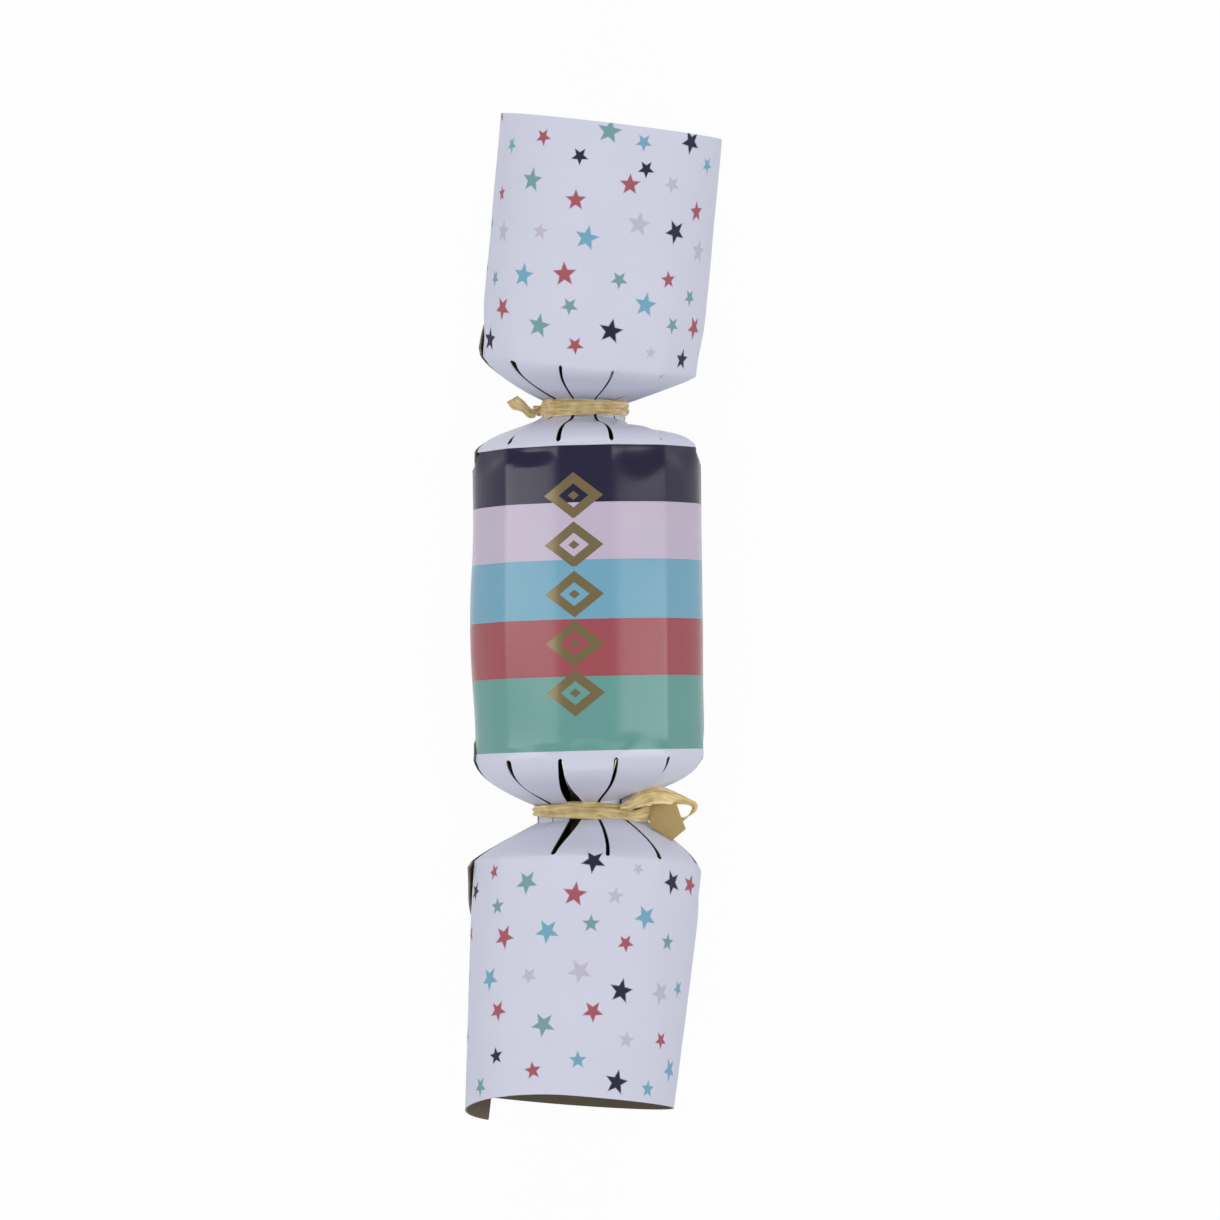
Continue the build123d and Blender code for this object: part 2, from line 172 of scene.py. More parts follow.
bottomLook = {
    "name": "bottom",
    "side": -1,
    "lean": 4.4,
    "lift": 5.7,
    "crease": 52.8,
    "tail": 52.2,
    "mouth": 47.3,
    "mouthSeam": -72.0,
    "mouthPanel": 32.8,
    "waistShift": 0.0,
    "tailShift": 0.9,
    "twist": -4.0,
    "mouthSkew": 0.0,
    "squeeze": 1.06,
    "gaping": 10,  # corner of the slit that stands open, counted from the seam
    "lapLift": 0.9,
    "lapRun": 17.0,
    "lapBack": 1.05,
    "mouthFlap": 0.6,
    "hang": 5.2,  # the inner layer runs on past the mouth
    "fold": 12.0,
    "knot": 70.0,
    "shoulder": {
        "length": 12.0, "bend": (0.4, 4.2), "flare": (16.2, 4.2), "under": 1.7, "slitStart": 0.4,
        "skew": (0.65, 0.95), "slits": {8: 0.95, 9: 1.05, 11: 1.6},
    },
    "neck": {
        "length": 13.0, "bend": (0.0, 2.2), "flare": (12.5, 3.2), "under": 1.9, "slitStart": 0.5,
        "skew": (1.2, 1.0), "slits": {7: 1.4, 8: 1.3, 9: 1.0, 11: 0.4},
    },
}


def sine(angle):
    return math.sin(math.radians(angle))


def cosine(angle):
    return math.cos(math.radians(angle))


def outward(angle):
    return Vector((sine(angle), 0, cosine(angle)))


def along(angle):
    return Vector((cosine(angle), 0, -sine(angle)))


def turned(end, vector, share):
    lift = Matrix.Rotation(math.radians(end["side"] * end["lift"] * share), 3, "X")
    lean = Matrix.Rotation(math.radians(-end["lean"] * share), 3, "Z")
    return lean @ (lift @ vector)


def waistOf(end):
    return Vector((wrap["shift"] + end["waistShift"], end["side"] * wrap["tie"], wrap["axis"]))


def squeezed(end, x, radius, share):
    # a narrowed neck gives way at its sides, a wide one all over
    near = min(1.0, (x / radius) ** 2) if end["squeeze"] < 1 else 1.0
    return x * mix(1.0, end["squeeze"], share * near)


def cornerAngle(corner, seam, panel):
    angle = seam - panel * corner
    return angle - wrap["crowd"] * sine(2 * angle)


def panelSpan(whole, seam, panel):
    # middle angle of a flat panel, and half the angle that it takes
    first, last = (cornerAngle(corner, seam, panel) for corner in (whole, whole + 1))
    return (first + last) / 2, (first - last) / 2


def panelSpot(s, seam, panel):
    # angle round the axis, and how deep the flat panel lies there as a share of its corners' radius
    whole = math.floor(s)
    middle, half = panelSpan(whole, seam, panel)
    sideways = ((s - whole) * 2 - 1) * math.tan(math.radians(half))
    return middle - math.degrees(math.atan(sideways)), cosine(half) * math.hypot(1, sideways)


def rested(point):
    point.z = max(point.z, wrap["rest"])
    return point


def lapped(s, lapStart, depth):
    return depth * ease((s - lapStart + 0.8) / 0.75)


def barrelShift(y):
    return wrap["shift"] + wrap["askew"] * y


foldSeed = random.Random(11)
barrelFolds = [(foldSeed.uniform(0.6, 1.3), foldSeed.uniform(0.6, 1.2)) for panel in range(14)]


def barrelCorner(y):
    look = barrelLook
    return mix(look["bottomCorner"], look["topCorner"], (y - look["bottom"]) / (look["top"] - look["bottom"]))


def frontArc(angle):
    # distance from the axis of an arc of wider radius, through both ridges
    look = barrelLook
    first = min(look["ridges"])
    ridge = cornerAngle(first, wrap["seam"], wrap["panel"]) + 360
    reach = mix(look["radius"] * look["swell"], look["radius"], look["roundness"] - look["ridges"][first])
    wide = reach * sine(ridge) / sine(look["arc"])
    low = wide * cosine(look["arc"]) - reach * cosine(ridge)
    return math.sqrt(wide**2 - (low * sine(angle)) ** 2) - low * cosine(angle)


def barrelPoint(s, y, inset=0.0):
    # flat panels at the creases, which fade into a round tube
    look = barrelLook
    fromTop, fromBottom = look["top"] - y, y - look["bottom"]
    angle, flat = panelSpot(s, wrap["seam"], wrap["panel"])
    whole = math.floor(s)
    across = (s - whole) * 2 - 1
    topSize, bottomSize = barrelFolds[whole % wrap["panels"]]
    topFold, bottomFold = look["topFold"] * topSize, look["bottomFold"] * bottomSize
    arch = look["arch"] * (1 - abs(across) ** look["archPower"])
    runs = (fromTop / topFold, fromBottom / bottomFold)
    rounded = min(ease((run - arch) / look["archFade"]) for run in runs)
    before, after = (look["ridges"].get(corner % wrap["panels"], 0.0) for corner in (whole, whole + 1))
    roundness = look["roundness"] - mix(before, after, s - whole)
    full = mix(look["radius"] * look["swell"] * flat, look["radius"], roundness)
    if min(look["ridges"]) <= whole < max(look["ridges"]):
        full = frontArc(angle)
    radius = mix(barrelCorner(y) * flat, full, rounded)
    past = (fromTop - look["dentRun"]) / (look["dentFade"] * topFold)
    radius -= look["dent"] * (1 - across**2) ** 2 * ease(fromTop / look["dentRun"]) * (1 - ease(past))
    wave = noise.noise(Vector((s * 0.9, y * 0.09, 3.1)))
    radius += look["ripple"] * wave * ease(min(fromTop, fromBottom) / look["rippleRun"])
    leftward = max(0.0, -sine(angle))
    radius += look["bulge"] * leftward**3 * ease(1 - abs(y - look["bulgeAt"]) / look["bulgeRun"])
    radius -= lapped(s, wrap["panels"], look["lapDepth"]) + inset
    point = outward(angle) * radius + Vector((barrelShift(y), y, wrap["axis"]))
    point.y += look["skew"] * sine(angle)
    return rested(point)


def neckCurve(neck, apothem, soft, t):
    # outline of a neck from its crease at t = 0 to the tie at t = 1
    inwards, lengthwise = neck["bend"][0] * (1 - soft), neck["bend"][1] * (1 + 0.8 * soft)
    radii = (apothem, apothem - inwards, neck["flare"][0], neckLook["waist"])
    heights = (neck["length"], neck["length"] - lengthwise, neck["flare"][1], neck["under"])
    parts = ((1 - t) ** 3, 3 * (1 - t) ** 2 * t, 3 * (1 - t) * t * t, t**3)
    return sum(p * r for p, r in zip(parts, radii)), sum(p * h for p, h in zip(parts, heights))


def neckRows(neck, apothem, soft):
    # (t, distance from the crease) of a strip's rows, closer together where its slits begin
    count = 200
    fine = [(k / count, neckCurve(neck, apothem, soft, k / count)) for k in range(count + 1)]
    walked, last = [(0.0, 0.0)], 0.0
    for (_, (r0, h0)), (t, (r1, h1)) in zip(fine, fine[1:]):
        last += math.hypot(r1 - r0, h1 - h0)
        walked.append((t, last))
    start, steps, lips = neck["slitStart"], neckLook["steps"], neckLook["lips"]
    wanted = [0.0, start * 0.5, start] + [start + lip for lip in lips]
    wanted += [start + lips[-1] + (last - start - lips[-1]) * k / steps for k in range(1, steps + 1)]
    rows, place = [], 0
    for distance in wanted:
        while place < count - 1 and walked[place + 1][1] < distance:
            place += 1
        (t0, d0), (t1, d1) = walked[place], walked[place + 1]
        rows.append((min(1.0, t0 + (t1 - t0) * (distance - d0) / (d1 - d0)), distance))
    return rows


def slitGap(end, tailSide, corner, t, fromStart):
    opened = ease(fromStart / 0.5)
    corner %= wrap["panels"]
    part = "neck" if tailSide else "shoulder"
    if corner == end["gaping"]:
        return opened * mix(1.1, neckLook["gape"][part], ease(t * 1.15))
    underneath = 1 <= corner <= 5
    usual = neckLook["shut"] if underneath else neckLook["slit"]
    return opened * end[part]["slits"].get(corner, usual) * (1 - 0.4 * t)


def stripRows(end, tailSide, j):
    # one strip of a neck, from its crease to the torn end under the ribbon: points, each with its panel and distance
    neck = end["neck"] if tailSide else end["shoulder"]
    edge = barrelLook[end["name"]]
    level = cosine(wrap["panel"] / 2)  # the tables of the necks are for panels of even width
    apothem = (end["crease"] / 2 if tailSide else barrelCorner(edge)) * level
    side = end["side"] if tailSide else -end["side"]
    facing, _ = panelSpan(j, wrap["seam"], wrap["panel"])
    soft = neckLook["soft"] * max(0.0, cosine(facing)) ** 2
    columns = wrap["columns"]
    lapDepth = tailLook["lapDepth"] if tailSide else barrelLook["lapDepth"]
    torn = random.Random(40 * j + 7 * tailSide + end["side"])
    rows = neckRows(neck, apothem, soft)
    stations = [(t, *neckCurve(neck, apothem, soft, t), distance) for t, distance in rows]
    reach = stations[-1][3]
    stations += [(1.0, neckLook["waist"], height, reach + past) for height, past in neckLook["underRibbon"]]
    strip = []
    for t, radius, height, distance in stations:
        seam = wrap["seam"] + (end["twist"] * (1 - ease(t)) if tailSide else 0.0)
        middle, halfAngle = panelSpan(j, seam, wrap["panel"])
        fromStart = distance - neck["slitStart"]
        gaps = [slitGap(end, tailSide, corner, t, fromStart) / 2 for corner in (j, j + 1)]
        radius *= cosine(halfAngle) / level
        half = radius * math.tan(math.radians(halfAngle))
        share = 1 - t if tailSide else 0.0
        base = waistOf(end)
        if tailSide:
            base.x += end["tailShift"] * (1 - ease(t))
        else:
            base.x = mix(barrelShift(edge), base.x, ease(t))
        row = []
        for column in range(columns + 1):
            a = column / columns * 2 - 1
            sideways = mix(-half + gaps[0], half - gaps[1], (a + 1) / 2)
            s = j + (sideways / half + 1) / 2
            out = radius - lapped(j + column / columns, wrap["panels"], lapDepth) * (1 - ease(t))
            out += neckLook["curl"] * (1 - a * a) * ease(t * 3)
            place = height if height > 0 else torn.uniform(*neckLook["torn"])
            local = outward(middle) * out - along(middle) * sideways + Vector((0, side * place, 0))
            local.y += mix(*neck["skew"], ease(t)) * sine(panelSpot(s, seam, wrap["panel"])[0])
            local.x = squeezed(end, local.x, radius / level, ease(t))
            row.append((rested(base + turned(end, local, share)), (s, distance)))
        strip.append(row)
    return strip


def tailSpot(end, s, share):
    panel = mix(wrap["panel"], end["mouthPanel"], share)
    seam = mix(wrap["seam"] + end["twist"], end["mouthSeam"], share)
    return panel, *panelSpot(s, seam, panel)


def tailWidth(end, share):
    return mix(end["crease"], end["mouth"], share)


def tailAcross(end, s, share):
    # place across the flat sheet, so that the print keeps its shape on the rolled tail
    _, angle, _ = tailSpot(end, s, share)
    return wrap["front"] - math.radians(angle + 360) * tailWidth(end, share) / 2


def tailPoint(end, s, share):
    # the tail from its crease at share 0 to its mouth at share 1: a point and its place on the flat sheet
    panel, angle, flat = tailSpot(end, s, share)
    look = tailLook
    fromCrease = share * end["tail"]
    radius = tailWidth(end, share) / 2 * mix(flat, 1, ease(fromCrease / end["fold"]) * look["roundness"])
    radius -= lapped(s, 360 / panel, look["lapDepth"])
    near = ease(fromCrease / look["lapStart"]) * (1 - ease((fromCrease - end["lapRun"] / 2) / end["lapRun"]))
    radius += end["lapLift"] * max(0.0, 1 - s / look["lapAcross"]) ** 2 * near
    wave = noise.noise(Vector((s * 0.7, fromCrease * 0.07, 8.2 + end["side"])))
    radius += look["ripple"] * wave * ease(fromCrease / look["rippleRun"])
    skew = end["mouthSkew"] * sine(angle) + end["hang"] * ease((s - look["hangFrom"]) / look["hangRun"])
    lengthwise = fromCrease + share**2 * skew
    height = end["neck"]["length"] + lengthwise
    local = outward(angle) * radius + Vector((0, end["side"] * height, 0))
    local.y += end["neck"]["skew"][0] * sine(angle) * (1 - share)
    base = waistOf(end) + Vector((end["tailShift"], 0, 0))
    return rested(base + turned(end, local, 1.0)), (tailAcross(end, s, share), lengthwise)


mapScale = 100  # millimetres of the flat sheet for each unit of its map


def addPatch(mesh, rows, material=0):
    # a grid of quads that face outwards, from rows of points with their places on the flat sheet
    sheetMap = mesh.loops.layers.uv["sheetMap"]
    made = [[mesh.verts.new(point * mm) for point, _ in row] for row in rows]
    backwards = made[-1][0].co.y > made[0][0].co.y
    for i in range(len(made) - 1):
        for j in range(len(made[0]) - 1):
            spots = [(i, j), (i, j + 1), (i + 1, j + 1), (i + 1, j)]
            if backwards:
                spots.reverse()
            face = mesh.faces.new([made[a][b] for a, b in spots])
            face.smooth = True
            face.material_index = material
            for loop, (a, b) in zip(face.loops, spots):
                loop[sheetMap].uv = [value / mapScale for value in rows[a][b][1]]


def newSheet():
    mesh = bmesh.new()
    mesh.loops.layers.uv.new("sheetMap")
    mesh.loops.layers.uv.new("motifMap")
    mesh.loops.layers.float_color.new("motifTint")
    return mesh


def placeMotifs(mesh, motifs):
    # each face gets the local map and the tint of the motif nearest to it
    far = 9.0
    sheetMap, motifMap = mesh.loops.layers.uv["sheetMap"], mesh.loops.layers.uv["motifMap"]
    tintLayer = mesh.loops.layers.float_color["motifTint"]
    for face in mesh.faces:
        spots = [loop[sheetMap].uv * mapScale for loop in face.loops]
        centre = sum(spots, Vector((0, 0))) / len(spots)
        best = min(motifs, key=lambda m: math.hypot(centre.x - m["u"], centre.y - m["v"]) - m["size"])
        turn = Matrix.Rotation(-best["turn"], 2)
        for loop, spot in zip(face.loops, spots):
            local = turn @ ((spot - Vector((best["u"], best["v"]))) / best["size"])
            loop[motifMap].uv = [max(-far, min(far, value)) for value in local]
            loop[tintLayer] = best["tint"]


def finishSheet(name, mesh, materials, thickness, offset=-1.0):
    # joins the patches and gives the sheet its thickness: print outside, board inside, raw edge at the rim
    weld, sharp = 2e-6, 40  # metres, degrees
    bmesh.ops.remove_doubles(mesh, verts=mesh.verts, dist=weld)
    data = bpy.data.meshes.new(name)
    mesh.to_mesh(data)
    mesh.free()
    piece = bpy.data.objects.new(name, data)
    bpy.context.scene.collection.objects.link(piece)
    for material in materials:
        data.materials.append(material)
    if thickness:
        solid = piece.modifiers.new("thickness", "SOLIDIFY")
        solid.thickness = thickness * mm
        solid.offset = offset
        if len(materials) > 1:
            solid.material_offset = 1
            solid.material_offset_rim = 2
        shown = piece.evaluated_get(bpy.context.evaluated_depsgraph_get())
        piece.data = bpy.data.meshes.new_from_object(shown)
        piece.modifiers.clear()
        bpy.data.meshes.remove(data)
    piece.data.name = name
    piece.data.set_sharp_from_angle(angle=math.radians(sharp))
    return piece


# node helpers

def addNode(tree, kind, **settings):
    made = tree.nodes.new(kind)
    for key, value in settings.items():
        setattr(made, key, value)
    return made


def wire(tree, source, target):
    if hasattr(source, "is_linked"):
        tree.links.new(source, target)
    else:
        target.default_value = source


def calc(tree, operation, first, second=None, third=None, clamp=False):
    made = addNode(tree, "ShaderNodeMath", operation=operation, use_clamp=clamp)
    for spot, value in enumerate((first, second, third)):
        if value is not None:
            wire(tree, value, made.inputs[spot])
    return made.outputs[0]


def blendColour(tree, share, first, second, kind="MIX"):
    made = addNode(tree, "ShaderNodeMix", data_type="RGBA", blend_type=kind)
    wire(tree, share, made.inputs["Factor"])
    wire(tree, first, made.inputs["A"])
    wire(tree, second, made.inputs["B"])
    return made.outputs["Result"]


def ranged(tree, value, low, high, toLow, toHigh):
    made = addNode(tree, "ShaderNodeMapRange")
    wire(tree, value, made.inputs["Value"])
    for spot, number in (("From Min", low), ("From Max", high), ("To Min", toLow), ("To Max", toHigh)):
        made.inputs[spot].default_value = number
    return made.outputs["Result"]


def addNoise(tree, vector, scale, detail=2.0):
    made = addNode(tree, "ShaderNodeTexNoise")
    wire(tree, vector, made.inputs["Vector"])
    wire(tree, scale, made.inputs["Scale"])
    made.inputs["Detail"].default_value = detail
    return made.outputs["Fac"]


def splitMap(tree, vector):
    made = addNode(tree, "ShaderNodeSeparateXYZ")
    wire(tree, vector, made.inputs[0])
    return made.outputs[0], made.outputs[1]


def newGroup(name, outputs, **inputs):
    # sockets for numbers, or for a vector where none is given
    tree = bpy.data.node_groups.new(name, "ShaderNodeTree")
    for label, value in inputs.items():
        kind = "NodeSocketVector" if value is None else "NodeSocketFloat"
        spot = tree.interface.new_socket(label, in_out="INPUT", socket_type=kind)
        if value is not None:
            spot.default_value = value
    for label in outputs:
        tree.interface.new_socket(label, in_out="OUTPUT", socket_type="NodeSocketFloat")
    return tree, addNode(tree, "NodeGroupInput"), addNode(tree, "NodeGroupOutput")


def placeGroup(tree, group, **values):
    made = addNode(tree, "ShaderNodeGroup", node_tree=group)
    for label, value in values.items():
        wire(tree, value, made.inputs[label])
    return made


def makeCardTooth():
    # fibres and mottle of card and paper
    tree, given, result = newGroup("cardTooth", ("Tone", "Polish", "Height"), Grain=900.0, Mottle=0.05)
    place = addNode(tree, "ShaderNodeTexCoord").outputs["Object"]
    fine = addNoise(tree, place, given.outputs["Grain"], 4)
    broad = addNoise(tree, place, 70, 3)
    both = calc(tree, "ADD", calc(tree, "SUBTRACT", fine, 0.5), calc(tree, "SUBTRACT", broad, 0.5))
    wire(tree, calc(tree, "MULTIPLY_ADD", both, given.outputs["Mottle"], 1.0), result.inputs["Tone"])
    wire(tree, calc(tree, "MULTIPLY", both, 0.07), result.inputs["Polish"])
    wire(tree, fine, result.inputs["Height"])
    return tree


def makePrintedStar():
    # five-pointed star of radius 1 round the middle of its map
    tree, given, result = newGroup("printedStar", ("Mask",), Map=None, Waist=0.43, Soft=0.03)
    x, y = splitMap(tree, given.outputs["Map"])
    reach = calc(tree, "SQRT", calc(tree, "ADD", calc(tree, "MULTIPLY", x, x), calc(tree, "MULTIPLY", y, y)))
    fifth = math.radians(72)
    angle = calc(tree, "ARCTAN2", x, y)
    within = calc(tree, "FLOORED_MODULO", calc(tree, "ADD", angle, fifth / 2), fifth)
    folded = calc(tree, "ABSOLUTE", calc(tree, "SUBTRACT", within, fifth / 2))
    outTo = calc(tree, "MULTIPLY", reach, calc(tree, "COSINE", folded))
    sideTo = calc(tree, "MULTIPLY", reach, calc(tree, "SINE", folded))
    waist, soft = given.outputs["Waist"], given.outputs["Soft"]
    notchOut = calc(tree, "MULTIPLY", waist, math.cos(fifth / 2))
    notchSide = calc(tree, "MULTIPLY", waist, math.sin(fifth / 2))
    fromTip = calc(tree, "MULTIPLY", notchSide, calc(tree, "SUBTRACT", outTo, 1.0))
    edge = calc(tree, "ADD", fromTip, calc(tree, "MULTIPLY", calc(tree, "SUBTRACT", 1.0, notchOut), sideTo))
    inside = calc(tree, "SUBTRACT", soft, edge)
    wire(tree, calc(tree, "DIVIDE", inside, calc(tree, "MULTIPLY", soft, 2.0), clamp=True), result.inputs["Mask"])
    return tree


def makeRibbonFibre():
    # fine fibres that run along a ribbon, from its own map: x along it, y across
    tree, given, result = newGroup("ribbonFibre", ("Strand", "Patch", "Height"), Map=None, Pull=0.06)
    x, y = splitMap(tree, given.outputs["Map"])
    joined = addNode(tree, "ShaderNodeCombineXYZ")
    wire(tree, calc(tree, "MULTIPLY", x, given.outputs["Pull"]), joined.inputs[0])
    wire(tree, y, joined.inputs[1])
    thin = addNoise(tree, joined.outputs[0], 700, 3)
    wide = addNoise(tree, joined.outputs[0], 170)
    wire(tree, calc(tree, "MULTIPLY", calc(tree, "ADD", thin, wide), 0.5), result.inputs["Strand"])
    wire(tree, thin, result.inputs["Height"])
    wire(tree, addNoise(tree, given.outputs["Map"], 34, 1), result.inputs["Patch"])
    return tree


cardTooth = makeCardTooth()
printedStar = makePrintedStar()
ribbonFibre = makeRibbonFibre()


def newMaterial(name):
    material = bpy.data.materials.new(name)
    material.use_nodes = True
    tree = material.node_tree
    return material, tree, tree.nodes["Principled BSDF"]


def addBump(tree, shader, height, strength, distance):
    bump = addNode(tree, "ShaderNodeBump")
    bump.inputs["Strength"].default_value = strength
    bump.inputs["Distance"].default_value = distance
    wire(tree, height, bump.inputs["Height"])
    wire(tree, bump.outputs[0], shader.inputs["Normal"])


toothDepth = 0.00003  # metres


def cardSurface(tree, shader, colour, finish):
    # the tooth of the board under a printed or bare colour
    tooth = placeGroup(tree, cardTooth, Grain=finish["grain"], Mottle=finish["mottle"])
    wire(tree, blendColour(tree, 1.0, colour, tooth.outputs["Tone"], "MULTIPLY"), shader.inputs["Base Color"])
    wire(tree, calc(tree, "ADD", tooth.outputs["Polish"], finish["roughness"], clamp=True), shader.inputs["Roughness"])
    addBump(tree, shader, tooth.outputs["Height"], finish["bump"], toothDepth)
    shader.inputs["Specular IOR Level"].default_value = finish["specular"]


def plainCard(name, colour, finish):
    material, tree, shader = newMaterial(name)
    cardSurface(tree, shader, colour, finish)
    return material


printFinish = {"grain": 1500.0, "mottle": 0.045, "roughness": 0.2, "bump": 0.02, "specular": 0.2}
tailFinish = {"grain": 1500.0, "mottle": 0.045, "roughness": 0.55, "bump": 0.07, "specular": 0.25}
boardFinish = {"grain": 700.0, "mottle": 0.2, "roughness": 0.86, "bump": 0.5, "specular": 0.2}

cardInks = {
    "white": ink(209, 211, 228),
    "navy": ink(45, 42, 64),
    "lilac": ink(194, 181, 202),
    "blue": ink(116, 167, 190),
    "red": ink(160, 82, 89),
    "green": ink(105, 157, 151),
    "foil": ink(126, 112, 81),
}
starInks = {
    "red": ink(165, 86, 99),
    "navy": ink(32, 29, 55),
    "green": ink(116, 157, 161),
    "blue": ink(115, 167, 191),
    "lilac": ink(191, 185, 207),
}

kraftInside = plainCard("kraftInside", ink(138, 127, 110), boardFinish)
rawEdge = plainCard("rawEdge", ink(138, 130, 116), boardFinish)
# painted shade: the neck strips' inside is kraft darkened to near black, for the shade deep inside the necks
neckInsidePaintedShade = plainCard("neckInsidePaintedShade", ink(50, 46, 40), boardFinish)
# painted shade: the cut edges along the slits are darker than the raw rim, so the slits read as dark gaps
slitEdgePaintedShade = plainCard("slitEdgePaintedShade", ink(90, 87, 84), boardFinish)


def cardLayers(printed):
    # outside, inside and rim of the rolled sheet, then those of its neck strips, whose dark inside and slit edges are
    # painted shade
    return [printed, kraftInside, rawEdge, printed, neckInsidePaintedShade, slitEdgePaintedShade]


stripes = {  # where each colour begins, from the bottom of the barrel up
    "white": -60.0,
    "green": -32.0,
    "red": -15.5,
    "blue": -3.1,
    "lilac": 10.0,
    "navy": 22.9,
    "top": 35.45,
}
stripeReach = 60.0  # how far up and down the ramp goes
lozenges = {
    "count": 5,
    "middle": 2.7,
    "pitch": 10.9,
    "size": 5.2,
    "panel": 9.723,
    "width": 1.42,  # of its height
    "ring": 0.5,  # inner edge of the ring, and size of the heart in it
    "heart": 0.2,
    "soft": 0.015,
    "metallic": 0.15,
}


def makeBarrelPrint():
    material, tree, shader = newMaterial("barrelPrint")
    sheet = addNode(tree, "ShaderNodeUVMap", uv_map="sheetMap")
    _, upward = splitMap(tree, sheet.outputs[0])
    height = ranged(tree, upward, -stripeReach / mapScale, stripeReach / mapScale, 0.0, 1.0)
    ramp = addNode(tree, "ShaderNodeValToRGB")
    ramp.color_ramp.interpolation = "CONSTANT"
    bands = ramp.color_ramp.elements
    while len(bands) < len(stripes):
        bands.new(0.5)
    for band, (colour, start) in zip(bands, stripes.items()):
        band.position = (start + stripeReach) / (2 * stripeReach)
        band.color = cardInks.get(colour, cardInks["white"])
    wire(tree, height, ramp.inputs[0])
    motif = addNode(tree, "ShaderNodeUVMap", uv_map="motifMap")
    x, y = (calc(tree, "ABSOLUTE", part) for part in splitMap(tree, motif.outputs[0]))
    reach = calc(tree, "ADD", calc(tree, "DIVIDE", x, lozenges["width"]), y)
    ring, heart, soft = lozenges["ring"], lozenges["heart"], lozenges["soft"]
    within = ranged(tree, reach, 1.0, 1.0 - soft, 0.0, 1.0)
    around = ranged(tree, reach, ring, ring + soft, 0.0, 1.0)
    inmost = ranged(tree, reach, heart, heart - soft, 0.0, 1.0)
    foil = calc(tree, "MAXIMUM", calc(tree, "MULTIPLY", within, around), inmost)
    colour = blendColour(tree, foil, ramp.outputs[0], cardInks["foil"])
    cardSurface(tree, shader, colour, printFinish)
    wire(tree, calc(tree, "MULTIPLY", foil, lozenges["metallic"]), shader.inputs["Metallic"])
    return material


def makeTailPrint():
    material, tree, shader = newMaterial("tailPrint")
    motif = addNode(tree, "ShaderNodeUVMap", uv_map="motifMap")
    star = placeGroup(tree, printedStar, Map=motif.outputs[0])
    tint = addNode(tree, "ShaderNodeAttribute", attribute_name="motifTint")
    colour = blendColour(tree, star.outputs["Mask"], cardInks["white"], tint.outputs["Color"])
    cardSurface(tree, shader, colour, tailFinish)
    return material


barrelPrint = makeBarrelPrint()
tailPrint = makeTailPrint()
print("card materials made")

# barrel


def foilMotifs():
    # one row of plain foil lozenges along the barrel
    u, pitch = lozenges["panel"] * wrap["panelWidth"], lozenges["pitch"]
    first = lozenges["middle"] + pitch * (lozenges["count"] - 1) / 2
    return [
        {"u": u, "v": first - k * pitch, "size": lozenges["size"], "turn": 0.0, "tint": (1, 1, 1, 1)}
        for k in range(lozenges["count"])
    ]


def rowPlaces(count, low, high):
    # closer together at both ends
    start = 0.12 * math.pi
    waves = [math.cos(start + (math.pi - 2 * start) * k / count) / math.cos(start) for k in range(count + 1)]
    return [mix(low, high, 0.5 - 0.5 * wave) for wave in waves]


def lapColumns(back, flap):
    # across the rolled sheet, from its outer edge to the end of the flap under it
    count, panels, flapSteps = wrap["columns"], wrap["panels"], 9
    columns = [mix(back, 2, k / (2 * count)) for k in range(2 * count)]
    columns += [2 + k / count for k in range((panels - 2) * count + 1)]
    return columns + [panels + flap * k / flapSteps for k in range(1, flapSteps + 1)]


def flapUnder(back):
    # the flap is longer where the outer edge steps back
    return wrap["flap"] + 0.45 * back


neckLayer = 3  # where the strips' materials begin in cardLayers


def makeBarrel():
    mesh = newSheet()
    panelWidth = wrap["panelWidth"]
    rows = []
    for y in rowPlaces(barrelLook["rows"], barrelLook["top"], barrelLook["bottom"]):
        fromEnd = min(barrelLook["top"] - y, y - barrelLook["bottom"])
        back = barrelLook["lapBack"] * ease(fromEnd / barrelLook["lapRun"])
        columns = lapColumns(back, flapUnder(back))
        rows.append([(barrelPoint(s, y), (s * panelWidth, y)) for s in columns])
    addPatch(mesh, rows)
    for end in (topLook, bottomLook):
        edge = barrelLook[end["name"]]
        for j in range(wrap["panels"]):
            strip = stripRows(end, False, j)
            rows = [[(p, (s * panelWidth, edge + end["side"] * d)) for p, (s, d) in row] for row in strip]
            addPatch(mesh, rows, neckLayer)
    placeMotifs(mesh, foilMotifs())
    piece = finishSheet("barrelWrap", mesh, cardLayers(barrelPrint), wrap["card"])
    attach(piece, "barrel")
    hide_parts("barrel_wrap", "top_shoulder_strips", "bottom_shoulder_strips")


makeBarrel()
print("barrel made")

# ends

